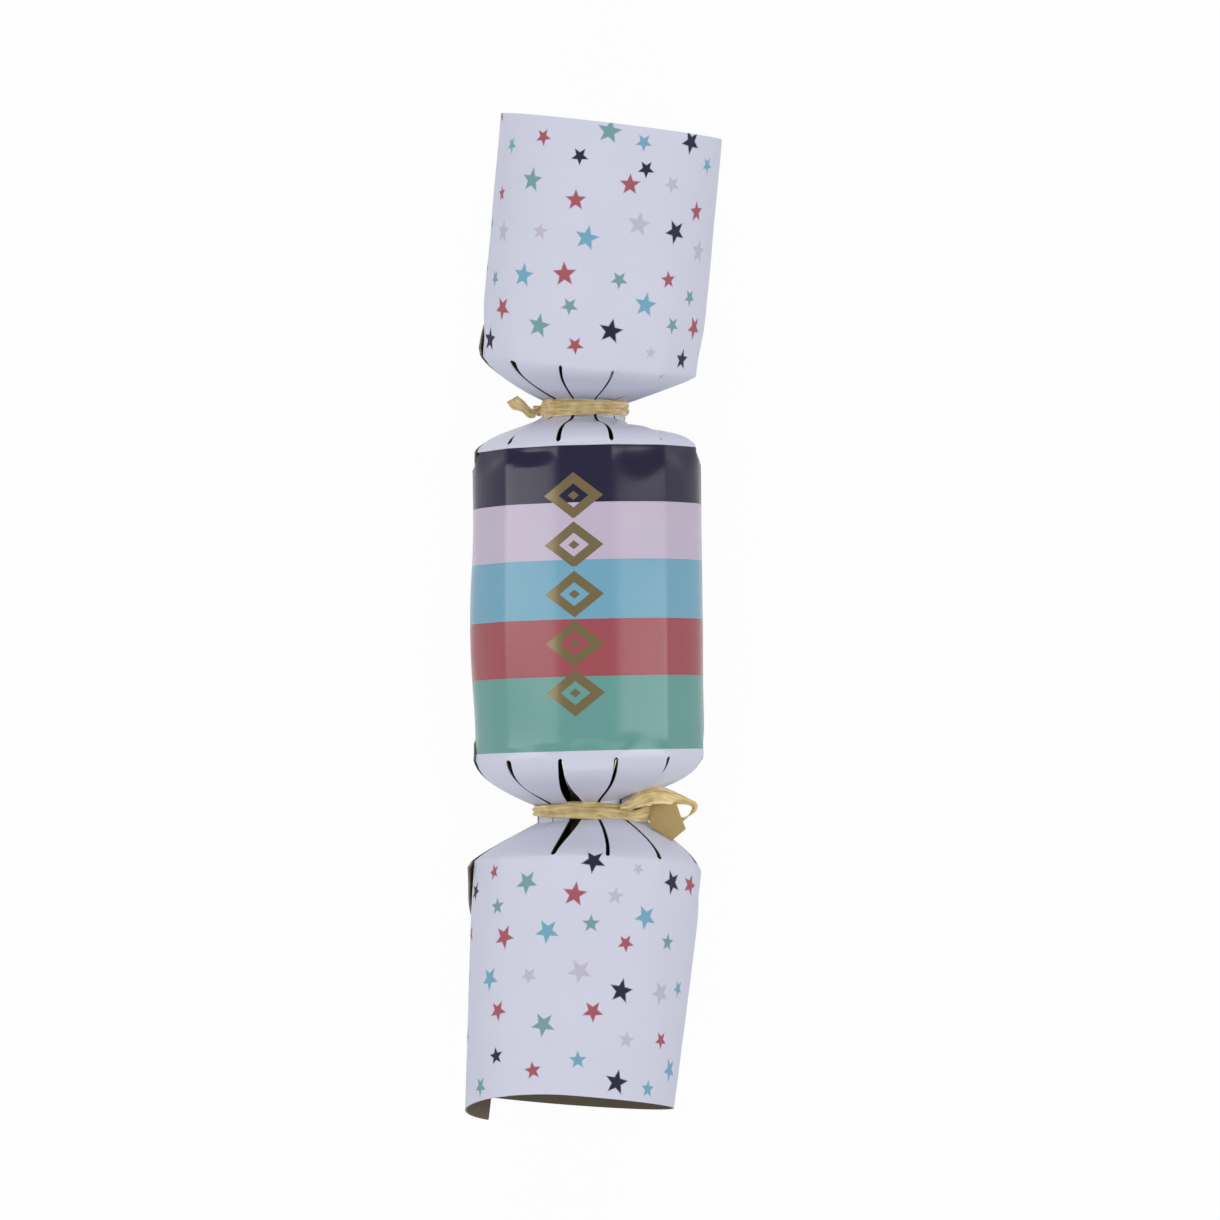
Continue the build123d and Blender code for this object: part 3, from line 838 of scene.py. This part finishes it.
starSizes = {"l": 2.85, "m": 2.45, "s": 2.05, "t": 1.5}
frontStars = {  # by colour and size: place on the flat sheet in millimetres, and degrees turned
    "top": {
        "red s": [(135.1, 49.4, 27), (149.1, 36.3, -8), (102.5, 20.6, -9), (123.1, 4.2, 28)],
        "green l": [(119.7, 51.8, 6), (137.2, 39.7, 4), (132.0, 7.7, 7)],
        "blue s": [(111.8, 50.1, 34), (145.5, 47.2, 29), (92.4, 46.7, 29)],
        "navy l": [(99.4, 51.3, -30), (101.7, 31.3, -29), (115.4, 8.1, 6), (149.5, 3.5, 3)],
        "navy s": [(125.8, 45.8, 33), (110.7, 44.3, 33)],
        "red m": [(114.1, 40.6, -3), (125.8, 36.1, -4), (95.1, 36.2, -6)],
        "lilac s": [(103.8, 41.6, -29), (133.7, 28.5, 3)],
        "lilac l": [(111.2, 32.1, 6), (146.1, 27.8, 1), (92.7, 27.5, 4)],
        "blue l": [(122.6, 28.0, 8), (137.2, 18.5, 4), (107.9, 14.6, 5)],
        "red l": [(126.9, 19.6, -7), (143.3, 10.8, -34), (91.4, 10.7, -34)],
        "green s": [(114.6, 19.5, 34), (125.1, 12.7, -36), (100.0, 10.7, -35), (94.8, 17.2, 33), (148.2, 17.3, 35)],
        "navy m": [(94.5, 3.4, 2)],
        "lilac t": [(105.2, 4.2, -1)],
    },
    "bottom": {
        "navy l": [(118.5, 0.7, -4), (97.7, 4.1, -13), (110.0, 28.7, 29), (109.4, 48.5, 29)],
        "green l": [(133.7, 5.6, 3), (126.9, 37.1, -3)],
        "red l": [(122.1, 8.2, 31), (138.5, 17.8, 11)],
        "lilac t": [(107.8, 1.9, 3)],
        "red m": [(90.8, 4.1, 18), (116.1, 33.6, 5), (138.8, 34.3, 11)],
        "red s": [(143.8, 3.0, -15), (109.8, 18.3, 8), (97.6, 38.4, 2), (128.5, 47.3, -24)],
        "navy m": [(154.2, 6.8, 16)],
        "lilac s": [(113.0, 8.2, 32), (131.1, 26.4, -3), (107.8, 39.2, 32)],
        "green s": [(118.0, 14.5, -33), (141.3, 10.9, -30), (98.3, 17.2, 35)],
        "blue l": [(105.4, 12.3, -6), (127.6, 16.5, -2), (142.3, 27.1, 4), (92.5, 44.4, -3)],
        "lilac l": [(119.7, 25.0, -4), (99.2, 28.3, -7)],
        "blue s": [(92.4, 26.8, -4), (118.6, 44.4, -31), (100.7, 49.2, -35)],
        "navy s": [(138.4, 44.4, -24)],
        "green m": [(143.8, 51.2, 2)],
    },
}
scatter = {
    "tries": 6000,
    "across": (-30, 75),
    "start": 1.5,
    "past": 2.0,  # beyond the mouth
    "flapFrom": -12,  # what lies left of this goes on the flap, where it shows beside the lap
    "flapShift": 184,
    "gap": 4.6,
    "share": 0.6,  # of the other star's size, which the gap leaves out
    "turn": 0.4,
}


def scatterStars(end):
    # the front's stars are listed one by one, and the back's are strewn clear of them
    seed = random.Random(20 + end["side"])
    stars = []
    for kind, spots in frontStars[end["name"]].items():
        colour, size = kind.split()
        look = {"size": starSizes[size], "tint": starInks[colour]}
        stars += [{"u": u, "v": v, "turn": math.radians(turn), **look} for u, v, turn in spots]
    for _ in range(scatter["tries"]):
        u = seed.uniform(*scatter["across"])
        v = seed.uniform(scatter["start"], end["tail"] + scatter["past"])
        u += scatter["flapShift"] if u < scatter["flapFrom"] else 0
        size = starSizes[seed.choice("lmmsst")]
        reach = scatter["gap"] + size
        if all(math.hypot(u - s["u"], v - s["v"]) > reach + s["size"] * scatter["share"] for s in stars):
            tint = starInks[seed.choice(list(starInks))]
            turn = seed.uniform(-scatter["turn"], scatter["turn"])
            stars.append({"u": u, "v": v, "size": size, "turn": turn, "tint": tint})
    return stars


def makeEnd(end):
    mesh = newSheet()
    rows = []
    for k in range(tailLook["rows"] + 1):
        share = k / tailLook["rows"]
        back = end["lapBack"] * ease(share * end["tail"] / end["lapRun"])
        columns = lapColumns(back, mix(flapUnder(back), end["mouthFlap"], share**2))
        rows.append([tailPoint(end, s, share) for s in columns])
    addPatch(mesh, rows)
    for j in range(wrap["panels"]):
        strip = stripRows(end, True, j)
        rows = [[(p, (tailAcross(end, s, 0.0), -d)) for p, (s, d) in row] for row in strip]
        addPatch(mesh, rows, neckLayer)
    placeMotifs(mesh, scatterStars(end))
    name = end["name"]
    piece = finishSheet(name + "EndWrap", mesh, cardLayers(tailPrint), wrap["card"])
    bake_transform(piece)
    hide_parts(name + "_tail_wrap", name + "_tail_strips")


for end in (topLook, bottomLook):
    makeEnd(end)
print("ends made")

# ribbons

ribbonLook = {
    "radius": 11.05,
    "rise": 0.4,  # of the second turn over the first
    "secondFrom": 300.0,  # degrees from the start, where it climbs
    "secondRun": 70.0,
    "knotRun": 24.0,  # degrees beside the knot, where it stands off
    "knotRise": 0.3,
    "tilt": 0.2,
    "pleat": 0.27,
    "pleats": 0.95,  # across half the width
    "wander": 0.9,
    "depth": (0.75, 0.6),  # even and uneven part
    "crumple": 0.5,
    "cup": 0.5,
    "foil": 0.1,
    "strands": 0.75,  # share of the fibres in the tone, beside broad patches
    "tones": (0.34, 0.62),
    "gloss": 0.08,
    "bump": 0.18,
    "bumpDepth": 0.0001,
    "metallic": 0.06,
    "specular": 0.55,
}
# the two turns of each tie: degrees from the knot's lead, place along the cracker, half width
topLook["turns"] = [
    (-78, 0.75, 0.95), (-45, 0.6, 1.35), (0, 0.2, 1.5), (45, -0.3, 1.45), (90, -0.5, 1.25), (180, 0.0, 1.3),
    (268, 0.2, 1.2), (282, -0.55, 1.1), (315, -0.6, 1.4), (360, -0.2, 1.5), (405, 0.25, 1.45), (450, 0.4, 1.35),
    (540, 0.2, 1.3), (614, 0.4, 0.9),
]
bottomLook["turns"] = [
    (84, 0.5, 0.9), (120, 0.3, 1.3), (180, 0.0, 1.3), (270, 0.0, 1.05), (310, 0.35, 1.3), (340, 0.6, 1.4),
    (385, 0.45, 1.15), (416, 0.4, 0.75), (444, 0.2, 0.9), (540, 0.1, 1.3), (630, -0.2, 1.0), (670, -0.2, 1.35),
    (700, -0.35, 1.4), (745, -0.85, 1.3), (776, -0.95, 1.25),
]


def makeRibbonSatin(name, dark, light, roughness):
    look = ribbonLook
    material, tree, shader = newMaterial(name)
    sheet = addNode(tree, "ShaderNodeUVMap", uv_map="sheetMap")
    fibre = placeGroup(tree, ribbonFibre, Map=sheet.outputs[0])
    strand = fibre.outputs["Strand"]
    patch = calc(tree, "MULTIPLY", fibre.outputs["Patch"], 1 - look["strands"])
    share = ranged(tree, calc(tree, "MULTIPLY_ADD", strand, look["strands"], patch), *look["tones"], 0.0, 1.0)
    wire(tree, blendColour(tree, share, dark, light), shader.inputs["Base Color"])
    rough = ranged(tree, strand, 0.2, 0.8, roughness + look["gloss"], roughness - look["gloss"])
    wire(tree, rough, shader.inputs["Roughness"])
    addBump(tree, shader, fibre.outputs["Height"], look["bump"], look["bumpDepth"])
    shader.inputs["Metallic"].default_value = look["metallic"]
    shader.inputs["Specular IOR Level"].default_value = look["specular"]
    return material


ribbonSatin = makeRibbonSatin("ribbonSatin", ink(186, 144, 68), ink(253, 234, 174), 0.32)
ribbonMatte = makeRibbonSatin("ribbonMatte", ink(168, 142, 86), ink(178, 152, 95), 0.6)


def tieFrame(end):
    # a point beside the tie, by angle, distance out and distance along the cracker
    def place(angle, radius, lengthwise):
        local = outward(angle) * radius
        local.x = squeezed(end, local.x, radius, 1.0)
        return waistOf(end) + local + Vector((0, lengthwise, 0))

    return place


def addBand(mesh, stations, pleat, seed, columns=14):
    # a ribbon along its stations (middle, half width vector, outward vector), with pleats that wander across it
    look = ribbonLook
    rows, walked = [], 0.0
    for i, (middle, half, out) in enumerate(stations):
        if i:
            walked += (middle - stations[i - 1][0]).length
        wander = look["wander"] * noise.noise(Vector((walked * 0.13, seed, 0.5)))
        even, uneven = look["depth"]
        depth = even + uneven * noise.noise(Vector((walked * 0.21, seed, 7.5)))
        row = []
        for column in range(columns + 1):
            v = column / columns * 2 - 1
            fold = math.sin(math.tau * (look["pleats"] * v + wander) + seed) * depth
            crumple = noise.noise(Vector((walked * 0.3, v * 3.4, seed + 9)))
            fold += look["crumple"] * crumple - look["cup"] * v * v
            row.append((middle + half * v + out * (pleat * fold), (walked, v * half.length)))
        rows.append(row)
    addPatch(mesh, rows)


def pathPlaces(spots, count):
    # the spot before each place on a path, and how far it is to the next
    for k in range(count + 1):
        at = k / count * (len(spots) - 1)
        i = min(int(at), len(spots) - 2)
        yield i, at - i


def straightPath(spots, count):
    return [spots[i].lerp(spots[i + 1], t) for i, t in pathPlaces(spots, count)]


def smoothPath(spots, count):
    # Catmull-Rom through the spots
    padded = [spots[0] * 2 - spots[1]] + list(spots) + [spots[-1] * 2 - spots[-2]]
    path = []
    for i, t in pathPlaces(spots, count):
        a, b, c, d = padded[i : i + 4]
        bent = (2 * a - 5 * b + 4 * c - d) * t * t + (3 * b - a - 3 * c + d) * t**3
        path.append(0.5 * (2 * b + (c - a) * t + bent))
    return path


def turnStations(end, place):
    look, turns, stations = ribbonLook, end["turns"], []
    for angle, lengthwise, half in smoothPath([Vector(turn) for turn in turns], 220):
        gone, left = angle - turns[0][0], turns[-1][0] - angle
        second = ease((gone - look["secondFrom"]) / look["secondRun"])
        toKnot = min(1.0, gone / look["knotRun"], left / look["knotRun"])
        radius = look["radius"] + look["rise"] * second + look["knotRise"] * (1 - ease(toKnot))
        tilt = look["tilt"] * noise.noise(Vector((angle * 0.02, 1.5, end["side"])))
        out = outward(angle)
        stations.append((place(angle, radius, lengthwise), Vector((0, half, 0)) + out * (half * tilt), out))
    return stations


def rideRibbon(piece, end, *nodes):
    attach(piece, end["name"] + "_tie")
    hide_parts(*[end["name"] + node for node in nodes])


def ribbonPiece(name, mesh, material=None):
    return finishSheet(name, mesh, [material or ribbonSatin], ribbonLook["foil"], 0.0)


def addRibbonTongue(mesh, run, seed, pleat=0.12, count=24, path=smoothPath):
    # a free run of ribbon through spots, with its half width vector at each
    middles = path([Vector(spot) for spot in run["spots"]], count)
    widths = path([Vector(half) for half in run["halves"]], count)
    stations = []
    for i, (middle, half) in enumerate(zip(middles, widths)):
        way = middles[min(i + 1, count)] - middles[max(i - 1, 0)]
        stations.append((middle, half, way.cross(half).normalized()))
    addBand(mesh, stations, pleat, seed, 12)


# strands that arch over a knot: degrees from the cracker's length, reach, height, half width, shift out
knotStrands = [
    (8, 2.0, 1.35, 0.95, -0.5), (62, 1.9, 1.6, 0.85, 0.25), (-48, 1.9, 1.8, 0.75, 0.1), (100, 1.5, 1.2, 0.8, -0.2),
]
knotLook = {"steps": 16, "tuck": 0.9, "swell": 0.15, "pleat": 0.1, "columns": 8}
topLook["knotSize"], topLook["knotReach"] = 0.6, 11.7
bottomLook["knotSize"], bottomLook["knotReach"] = 0.85, 12.2


def addKnot(mesh, end, place):
    out, upward = outward(end["knot"]), along(end["knot"])
    if upward.z < 0:
        upward = -upward
    lengthwise = Vector((0, 1, 0))
    centre = place(end["knot"], end["knotReach"], 0.0)
    look = knotLook
    for seed, (heading, reach, height, half, shift) in enumerate(knotStrands):
        run = lengthwise * cosine(heading) + out * sine(heading)
        across = out * cosine(heading) - lengthwise * sine(heading)
        for side in (1, -1):  # over the top and back underneath
            stations = []
            for k in range(look["steps"] + 1):
                angle = math.pi * (k / look["steps"])
                rise = upward * (side * math.sin(angle) * height)
                spoke = run * (-math.cos(angle) * reach * look["tuck"]) + rise
                width = half * (1 + look["swell"] * math.sin(3 * angle + seed))
                middle = centre + (out * shift + spoke) * end["knotSize"]
                stations.append((middle, across * (width * end["knotSize"]), spoke.normalized()))
            addBand(mesh, stations, look["pleat"], 1.3 + seed + side, look["columns"])


def makeTie(end):
    place = tieFrame(end)
    mesh = newSheet()
    addBand(mesh, turnStations(end, place), ribbonLook["pleat"], 3.0 + end["side"])
    rideRibbon(ribbonPiece(end["name"] + "RibbonTurns", mesh), end, "_ribbon_turns")
    mesh = newSheet()
    addKnot(mesh, end, place)
    for seed, run in enumerate(end["knotFolds"]):
        addRibbonTongue(mesh, run, 4.1 + seed)
    rideRibbon(ribbonPiece(end["name"] + "RibbonKnot", mesh), end, "_ribbon_knot")


topLook["knotFolds"] = []
bottomLook["knotFolds"] = [  # the second turn comes over the knot as a broad fold
    {
        "spots": [
            (7.4, -46.0, 34.0), (9.6, -46.3, 34.1), (11.6, -46.2, 33.6), (13.6, -45.8, 33.0), (15.8, -45.6, 32.6),
        ],
        "halves": [(0.0, 0.8, 0.0), (0.0, 1.0, 0.05), (0.15, 1.3, 0.1), (0.2, 1.7, 0.2), (0.2, 1.7, 0.2)],
    },
]
for end in (topLook, bottomLook):
    makeTie(end)

topEnds = [
    {  # seen
        "spots": [
            (-11.3, 44.2, 26.1), (-12.65, 44.3, 26.6), (-14.2, 45.75, 27.0), (-15.8, 46.5, 26.8), (-16.6, 47.5, 26.4),
        ],
        "halves": [(0.1, 0.8, 0.2), (0.25, 1.1, 0.1), (0.3, 1.2, 0.1), (0.87, 1.3, 0.0), (1.25, 0.7, -0.1)],
    },
    {  # hidden below it
        "spots": [(-11.4, 44.9, 24.4), (-12.0, 45.2, 22.6), (-11.6, 45.4, 20.2), (-10.2, 45.3, 18.2)],
        "halves": [(0.0, 0.7, 0.2), (0.1, 0.8, 0.1), (0.1, 1.0, 0.0), (0.1, 1.2, 0.0)],
    },
]
bowLoop = {
    "spots": [
        (7.6, -44.3, 34.5), (9.8, -43.8, 35.2), (12.2, -42.7, 35.2), (14.6, -41.8, 35.0), (17.0, -41.7, 34.9),
        (19.6, -42.3, 34.8), (22.2, -42.9, 34.2), (24.2, -44.0, 33.5), (23.6, -45.6, 32.9), (21.8, -46.9, 32.4),
        (18.5, -47.2, 32.0), (14.6, -45.9, 31.4),
    ],
    "halves": [
        (-0.2, 0.45, 0.1), (-0.6, 0.85, 0.15), (-1.0, 1.35, 0.2), (-0.8, 1.85, 0.25), (-0.1, 1.9, 0.35),
        (0.25, 1.4, 0.8), (0.25, 0.75, 1.15), (0.5, 0.3, 1.3), (0.45, 0.1, 1.3), (0.2, 0.4, 1.15),
        (0.1, 0.8, 0.9), (0.0, 0.8, 0.6),
    ],
}
bowEnd = {
    "spots": [(14.55, -44.9, 33.5), (17.15, -45.8, 34.1), (19.05, -48.25, 34.4), (20.7, -50.55, 34.0)],
    "halves": [(0.15, 1.4, 0.05), (2.95, 2.7, 0.1), (2.15, 1.95, 0.05), (1.6, 1.35, 0.0)],
}


def makeTopEnds():
    mesh = newSheet()
    for seed, run in enumerate(topEnds):
        addRibbonTongue(mesh, run, 2.2 + 4 * seed, 0.1)
    rideRibbon(ribbonPiece("topRibbonEnds", mesh), topLook, "_ribbon_ends")


def makeBottomBow():
    mesh = newSheet()
    addRibbonTongue(mesh, bowLoop, 5.4, 0.16, 66)
    rideRibbon(ribbonPiece("bottomRibbonLoop", mesh), bottomLook, "_ribbon_loop")
    mesh = newSheet()
    addRibbonTongue(mesh, bowEnd, 7.7, 0.05, 24, straightPath)
    rideRibbon(ribbonPiece("bottomRibbonEnd", mesh, ribbonMatte), bottomLook, "_ribbon_end")


makeTopEnds()
makeBottomBow()
print("ribbons made")

# snap and gifts

snapLook = {  # colour and finish
    # the snap strips' own kraft brown, darkened further as painted shade where it shows through the gaping slit
    "snapKraftAndShade": (ink(112, 98, 78), boardFinish),
    "snapPaper": (
        ink(214, 208, 192),
        {"grain": 900.0, "mottle": 0.06, "roughness": 0.8, "bump": 0.4, "specular": 0.25},
    ),
    "snapGrit": (
        ink(62, 54, 50),
        {"grain": 2600.0, "mottle": 0.7, "roughness": 0.95, "bump": 1.0, "specular": 0.2},
    ),
    "crownTissue": (
        ink(186, 66, 76),
        {"grain": 500.0, "mottle": 0.16, "roughness": 0.78, "bump": 0.8, "specular": 0.25},
    ),
    "mottoPaper": (
        ink(226, 223, 211),
        {"grain": 1000.0, "mottle": 0.05, "roughness": 0.75, "bump": 0.3, "specular": 0.3},
    ),
    "seamTape": (
        ink(216, 212, 196),
        {"grain": 300.0, "mottle": 0.05, "roughness": 0.35, "bump": 0.2, "specular": 0.5},
    ),
}
snapMaterials = {name: plainCard(name, colour, finish) for name, (colour, finish) in snapLook.items()}


def makeTurnedWood(name, dark, light, paint, roughness):
    # growth rings drawn out along the turned piece, under thin paint where it has any
    material, tree, shader = newMaterial(name)
    place = addNode(tree, "ShaderNodeTexCoord").outputs["Object"]
    stretch = addNode(tree, "ShaderNodeMapping")
    stretch.inputs["Scale"].default_value = (900, 90, 900)
    wire(tree, place, stretch.inputs["Vector"])
    grain = addNoise(tree, stretch.outputs[0], 1.2, 5)
    share = ranged(tree, grain, 0.35, 0.65, 0.0, 1.0)
    colour = blendColour(tree, share, dark, light)
    if paint:
        worn = ranged(tree, grain, 0.66, 0.72, 0.0, 0.5)
        colour = blendColour(tree, worn, paint, colour)
    wire(tree, colour, shader.inputs["Base Color"])
    wire(tree, ranged(tree, grain, 0.3, 0.7, roughness - 0.08, roughness + 0.08), shader.inputs["Roughness"])
    addBump(tree, shader, grain, 0.25, 0.0001)
    return material


woodTones = (ink(178, 136, 88), ink(212, 176, 126))
topWood = makeTurnedWood("topWood", *woodTones, None, 0.55)
topPaint = makeTurnedWood("topPaint", *woodTones, ink(172, 62, 66), 0.4)

nodeMaterials = {
    "snap_top_strip": snapMaterials["snapKraftAndShade"],
    "snap_bottom_strip": snapMaterials["snapKraftAndShade"],
    "snap_sleeve": snapMaterials["snapPaper"],
    "snap_striker_patch": snapMaterials["snapGrit"],
    "snap_compound_patch": snapMaterials["snapGrit"],
    "motto_slip": snapMaterials["mottoPaper"],
    "spinning_top_disc": topPaint,
    "spinning_top_peg": topWood,
}
for node, material in nodeMaterials.items():
    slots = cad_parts[node].data.materials
    slots.clear()
    slots.append(material)


seamTape = {"from": 1.02, "width": 0.2, "reach": 26.0, "inset": 0.475, "thickness": 0.1}  # the first two in panels


def makeSeamTape():
    # lies in the lap of the barrel
    mesh = newSheet()
    across = [seamTape["from"] + seamTape["width"] * k / 4 for k in range(5)]
    lengthwise = [seamTape["reach"] * (1 - k / 15) for k in range(31)]
    rows = [[(barrelPoint(s, y, seamTape["inset"]), (s * wrap["panelWidth"], y)) for s in across] for y in lengthwise]
    addPatch(mesh, rows)
    piece = finishSheet("seamTape", mesh, [snapMaterials["seamTape"]], seamTape["thickness"], 0.0)
    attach(piece, "barrel")
    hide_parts("seam_tape")


crown = {
    "width": 23.6,
    "length": 60.0,
    "point": 14.0,
    "leaves": 8,
    "floor": 3.95,
    "step": 0.29,
    "crinkle": 0.07,
    "tuck": 0.985,  # of the width, where a leaf turns into its fold
    "columns": 12,
    "rows": 24,
    "thickness": 0.06,
}


def makeCrown():
    # one strip of tissue folded to and fro, with a pointed end
    mesh = newSheet()
    half, columns = crown["width"] / 2, crown["columns"]
    stops = []  # across the folded strip: (x, height)
    for leaf in range(crown["leaves"]):
        way = 1 if leaf % 2 == 0 else -1
        level = crown["floor"] + leaf * crown["step"]
        places = [way * (-half + crown["width"] * k / columns) for k in range(columns + 1)]
        stops += [(x * crown["tuck"], level) for x in places]
        if leaf < crown["leaves"] - 1:
            stops.append((way * half, level + crown["step"] / 2))
    rows = []
    for i in range(crown["rows"] + 1):
        row = []
        for k, (x, z) in enumerate(stops):
            tip = crown["length"] / 2 - crown["point"] * abs(x) / half
            y = mix(tip, -crown["length"] / 2, i / crown["rows"])
            lift = crown["crinkle"] * noise.noise(Vector((x * 0.35, y * 0.22, 4.0)))
            row.append((Vector((x, y, z + lift)), (k, y)))
        rows.append(row)
    addPatch(mesh, rows)
    piece = finishSheet("paperCrown", mesh, [snapMaterials["crownTissue"]], crown["thickness"], 0.0)
    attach(piece, "hat")
    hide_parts("paper_hat")


makeSeamTape()
makeCrown()
print("snap and gifts made")

# floor, light and camera

stageLook = {
    "floor": 3.0,
    "floorLevel": -0.0003,
    "white": 0.96,
    "sheen": 0.35,
    "ambient": 0.147,
    "ends": (1.4, 0.7, 8.7),  # each softbox: two sizes and power
    "sides": (0.16, 1.6, 5.2),
}


def makeFloor():
    mesh = bmesh.new()
    bmesh.ops.create_grid(mesh, x_segments=8, y_segments=8, size=stageLook["floor"])
    data = bpy.data.meshes.new("floor")
    mesh.to_mesh(data)
    mesh.free()
    floor = bpy.data.objects.new("floor", data)
    floor.location.z = stageLook["floorLevel"]
    bpy.context.scene.collection.objects.link(floor)
    material, tree, shader = newMaterial("floorPaper")
    shader.inputs["Base Color"].default_value = (0.86, 0.86, 0.87, 1)
    shader.inputs["Roughness"].default_value = 0.9
    shader.inputs["Specular IOR Level"].default_value = 0.1
    glow = addNode(tree, "ShaderNodeEmission")
    rays = addNode(tree, "ShaderNodeLightPath")
    glossy = calc(tree, "MULTIPLY", rays.outputs["Is Glossy Ray"], stageLook["sheen"])
    through = calc(tree, "MAXIMUM", glossy, rays.outputs["Is Transmission Ray"])
    seen = calc(tree, "MAXIMUM", rays.outputs["Is Camera Ray"], through)
    blend = addNode(tree, "ShaderNodeMixShader")
    wire(tree, calc(tree, "MULTIPLY", seen, stageLook["white"]), blend.inputs[0])
    wire(tree, shader.outputs[0], blend.inputs[1])
    wire(tree, glow.outputs[0], blend.inputs[2])
    wire(tree, blend.outputs[0], tree.nodes["Material Output"].inputs["Surface"])
    data.materials.append(material)


def makeWorld():
    world = bpy.data.worlds.new("studio")
    bpy.context.scene.world = world
    world.use_nodes = True
    tree = world.node_tree
    background = tree.nodes["Background"]
    background.inputs["Color"].default_value = (1, 1, 1, 1)
    rays = addNode(tree, "ShaderNodeLightPath")
    seen = calc(tree, "MAXIMUM", rays.outputs["Is Camera Ray"], rays.outputs["Is Transmission Ray"])
    wire(tree, ranged(tree, seen, 0.0, 1.0, stageLook["ambient"], 1.0), background.inputs["Strength"])


def addSoftbox(name, place, height, look):
    # turned to a spot over the middle of the floor
    lamp = bpy.data.lights.new(name, "AREA")
    lamp.shape = "RECTANGLE"
    lamp.size, lamp.size_y, lamp.energy = look
    softbox = bpy.data.objects.new(name, lamp)
    softbox.location = place
    softbox.rotation_euler = (Vector((0, 0, height)) - Vector(place)).to_track_quat("-Z", "Y").to_euler()
    bpy.context.scene.collection.objects.link(softbox)


makeFloor()
makeWorld()
addSoftbox("headSoftbox", (0.0, 0.95, 1.2), 0.02, stageLook["ends"])
addSoftbox("footSoftbox", (0.0, -1.05, 1.2), 0.02, stageLook["ends"])
addSoftbox("leftSoftbox", (-0.91, 0.05, 0.44), 0.03, stageLook["sides"])
addSoftbox("rightSoftbox", (0.91, 0.0, 0.44), 0.03, stageLook["sides"])

view = {"eye": (0.0054, -0.043, 1.2751), "target": (0.0054, 0.0, 0.0251), "width": 0.2745, "sensor": 36}
lens = bpy.data.cameras.new("camera")
camera = bpy.data.objects.new("camera", lens)
bpy.context.scene.collection.objects.link(camera)
sight = Vector(view["target"]) - Vector(view["eye"])
camera.location = view["eye"]
camera.rotation_euler = sight.to_track_quat("-Z", "Y").to_euler()
lens.sensor_width = view["sensor"]
lens.lens = view["sensor"] * sight.length / view["width"]
lens.clip_start = 0.01
bpy.context.scene.camera = camera
bpy.context.scene.view_settings.view_transform = "Standard"
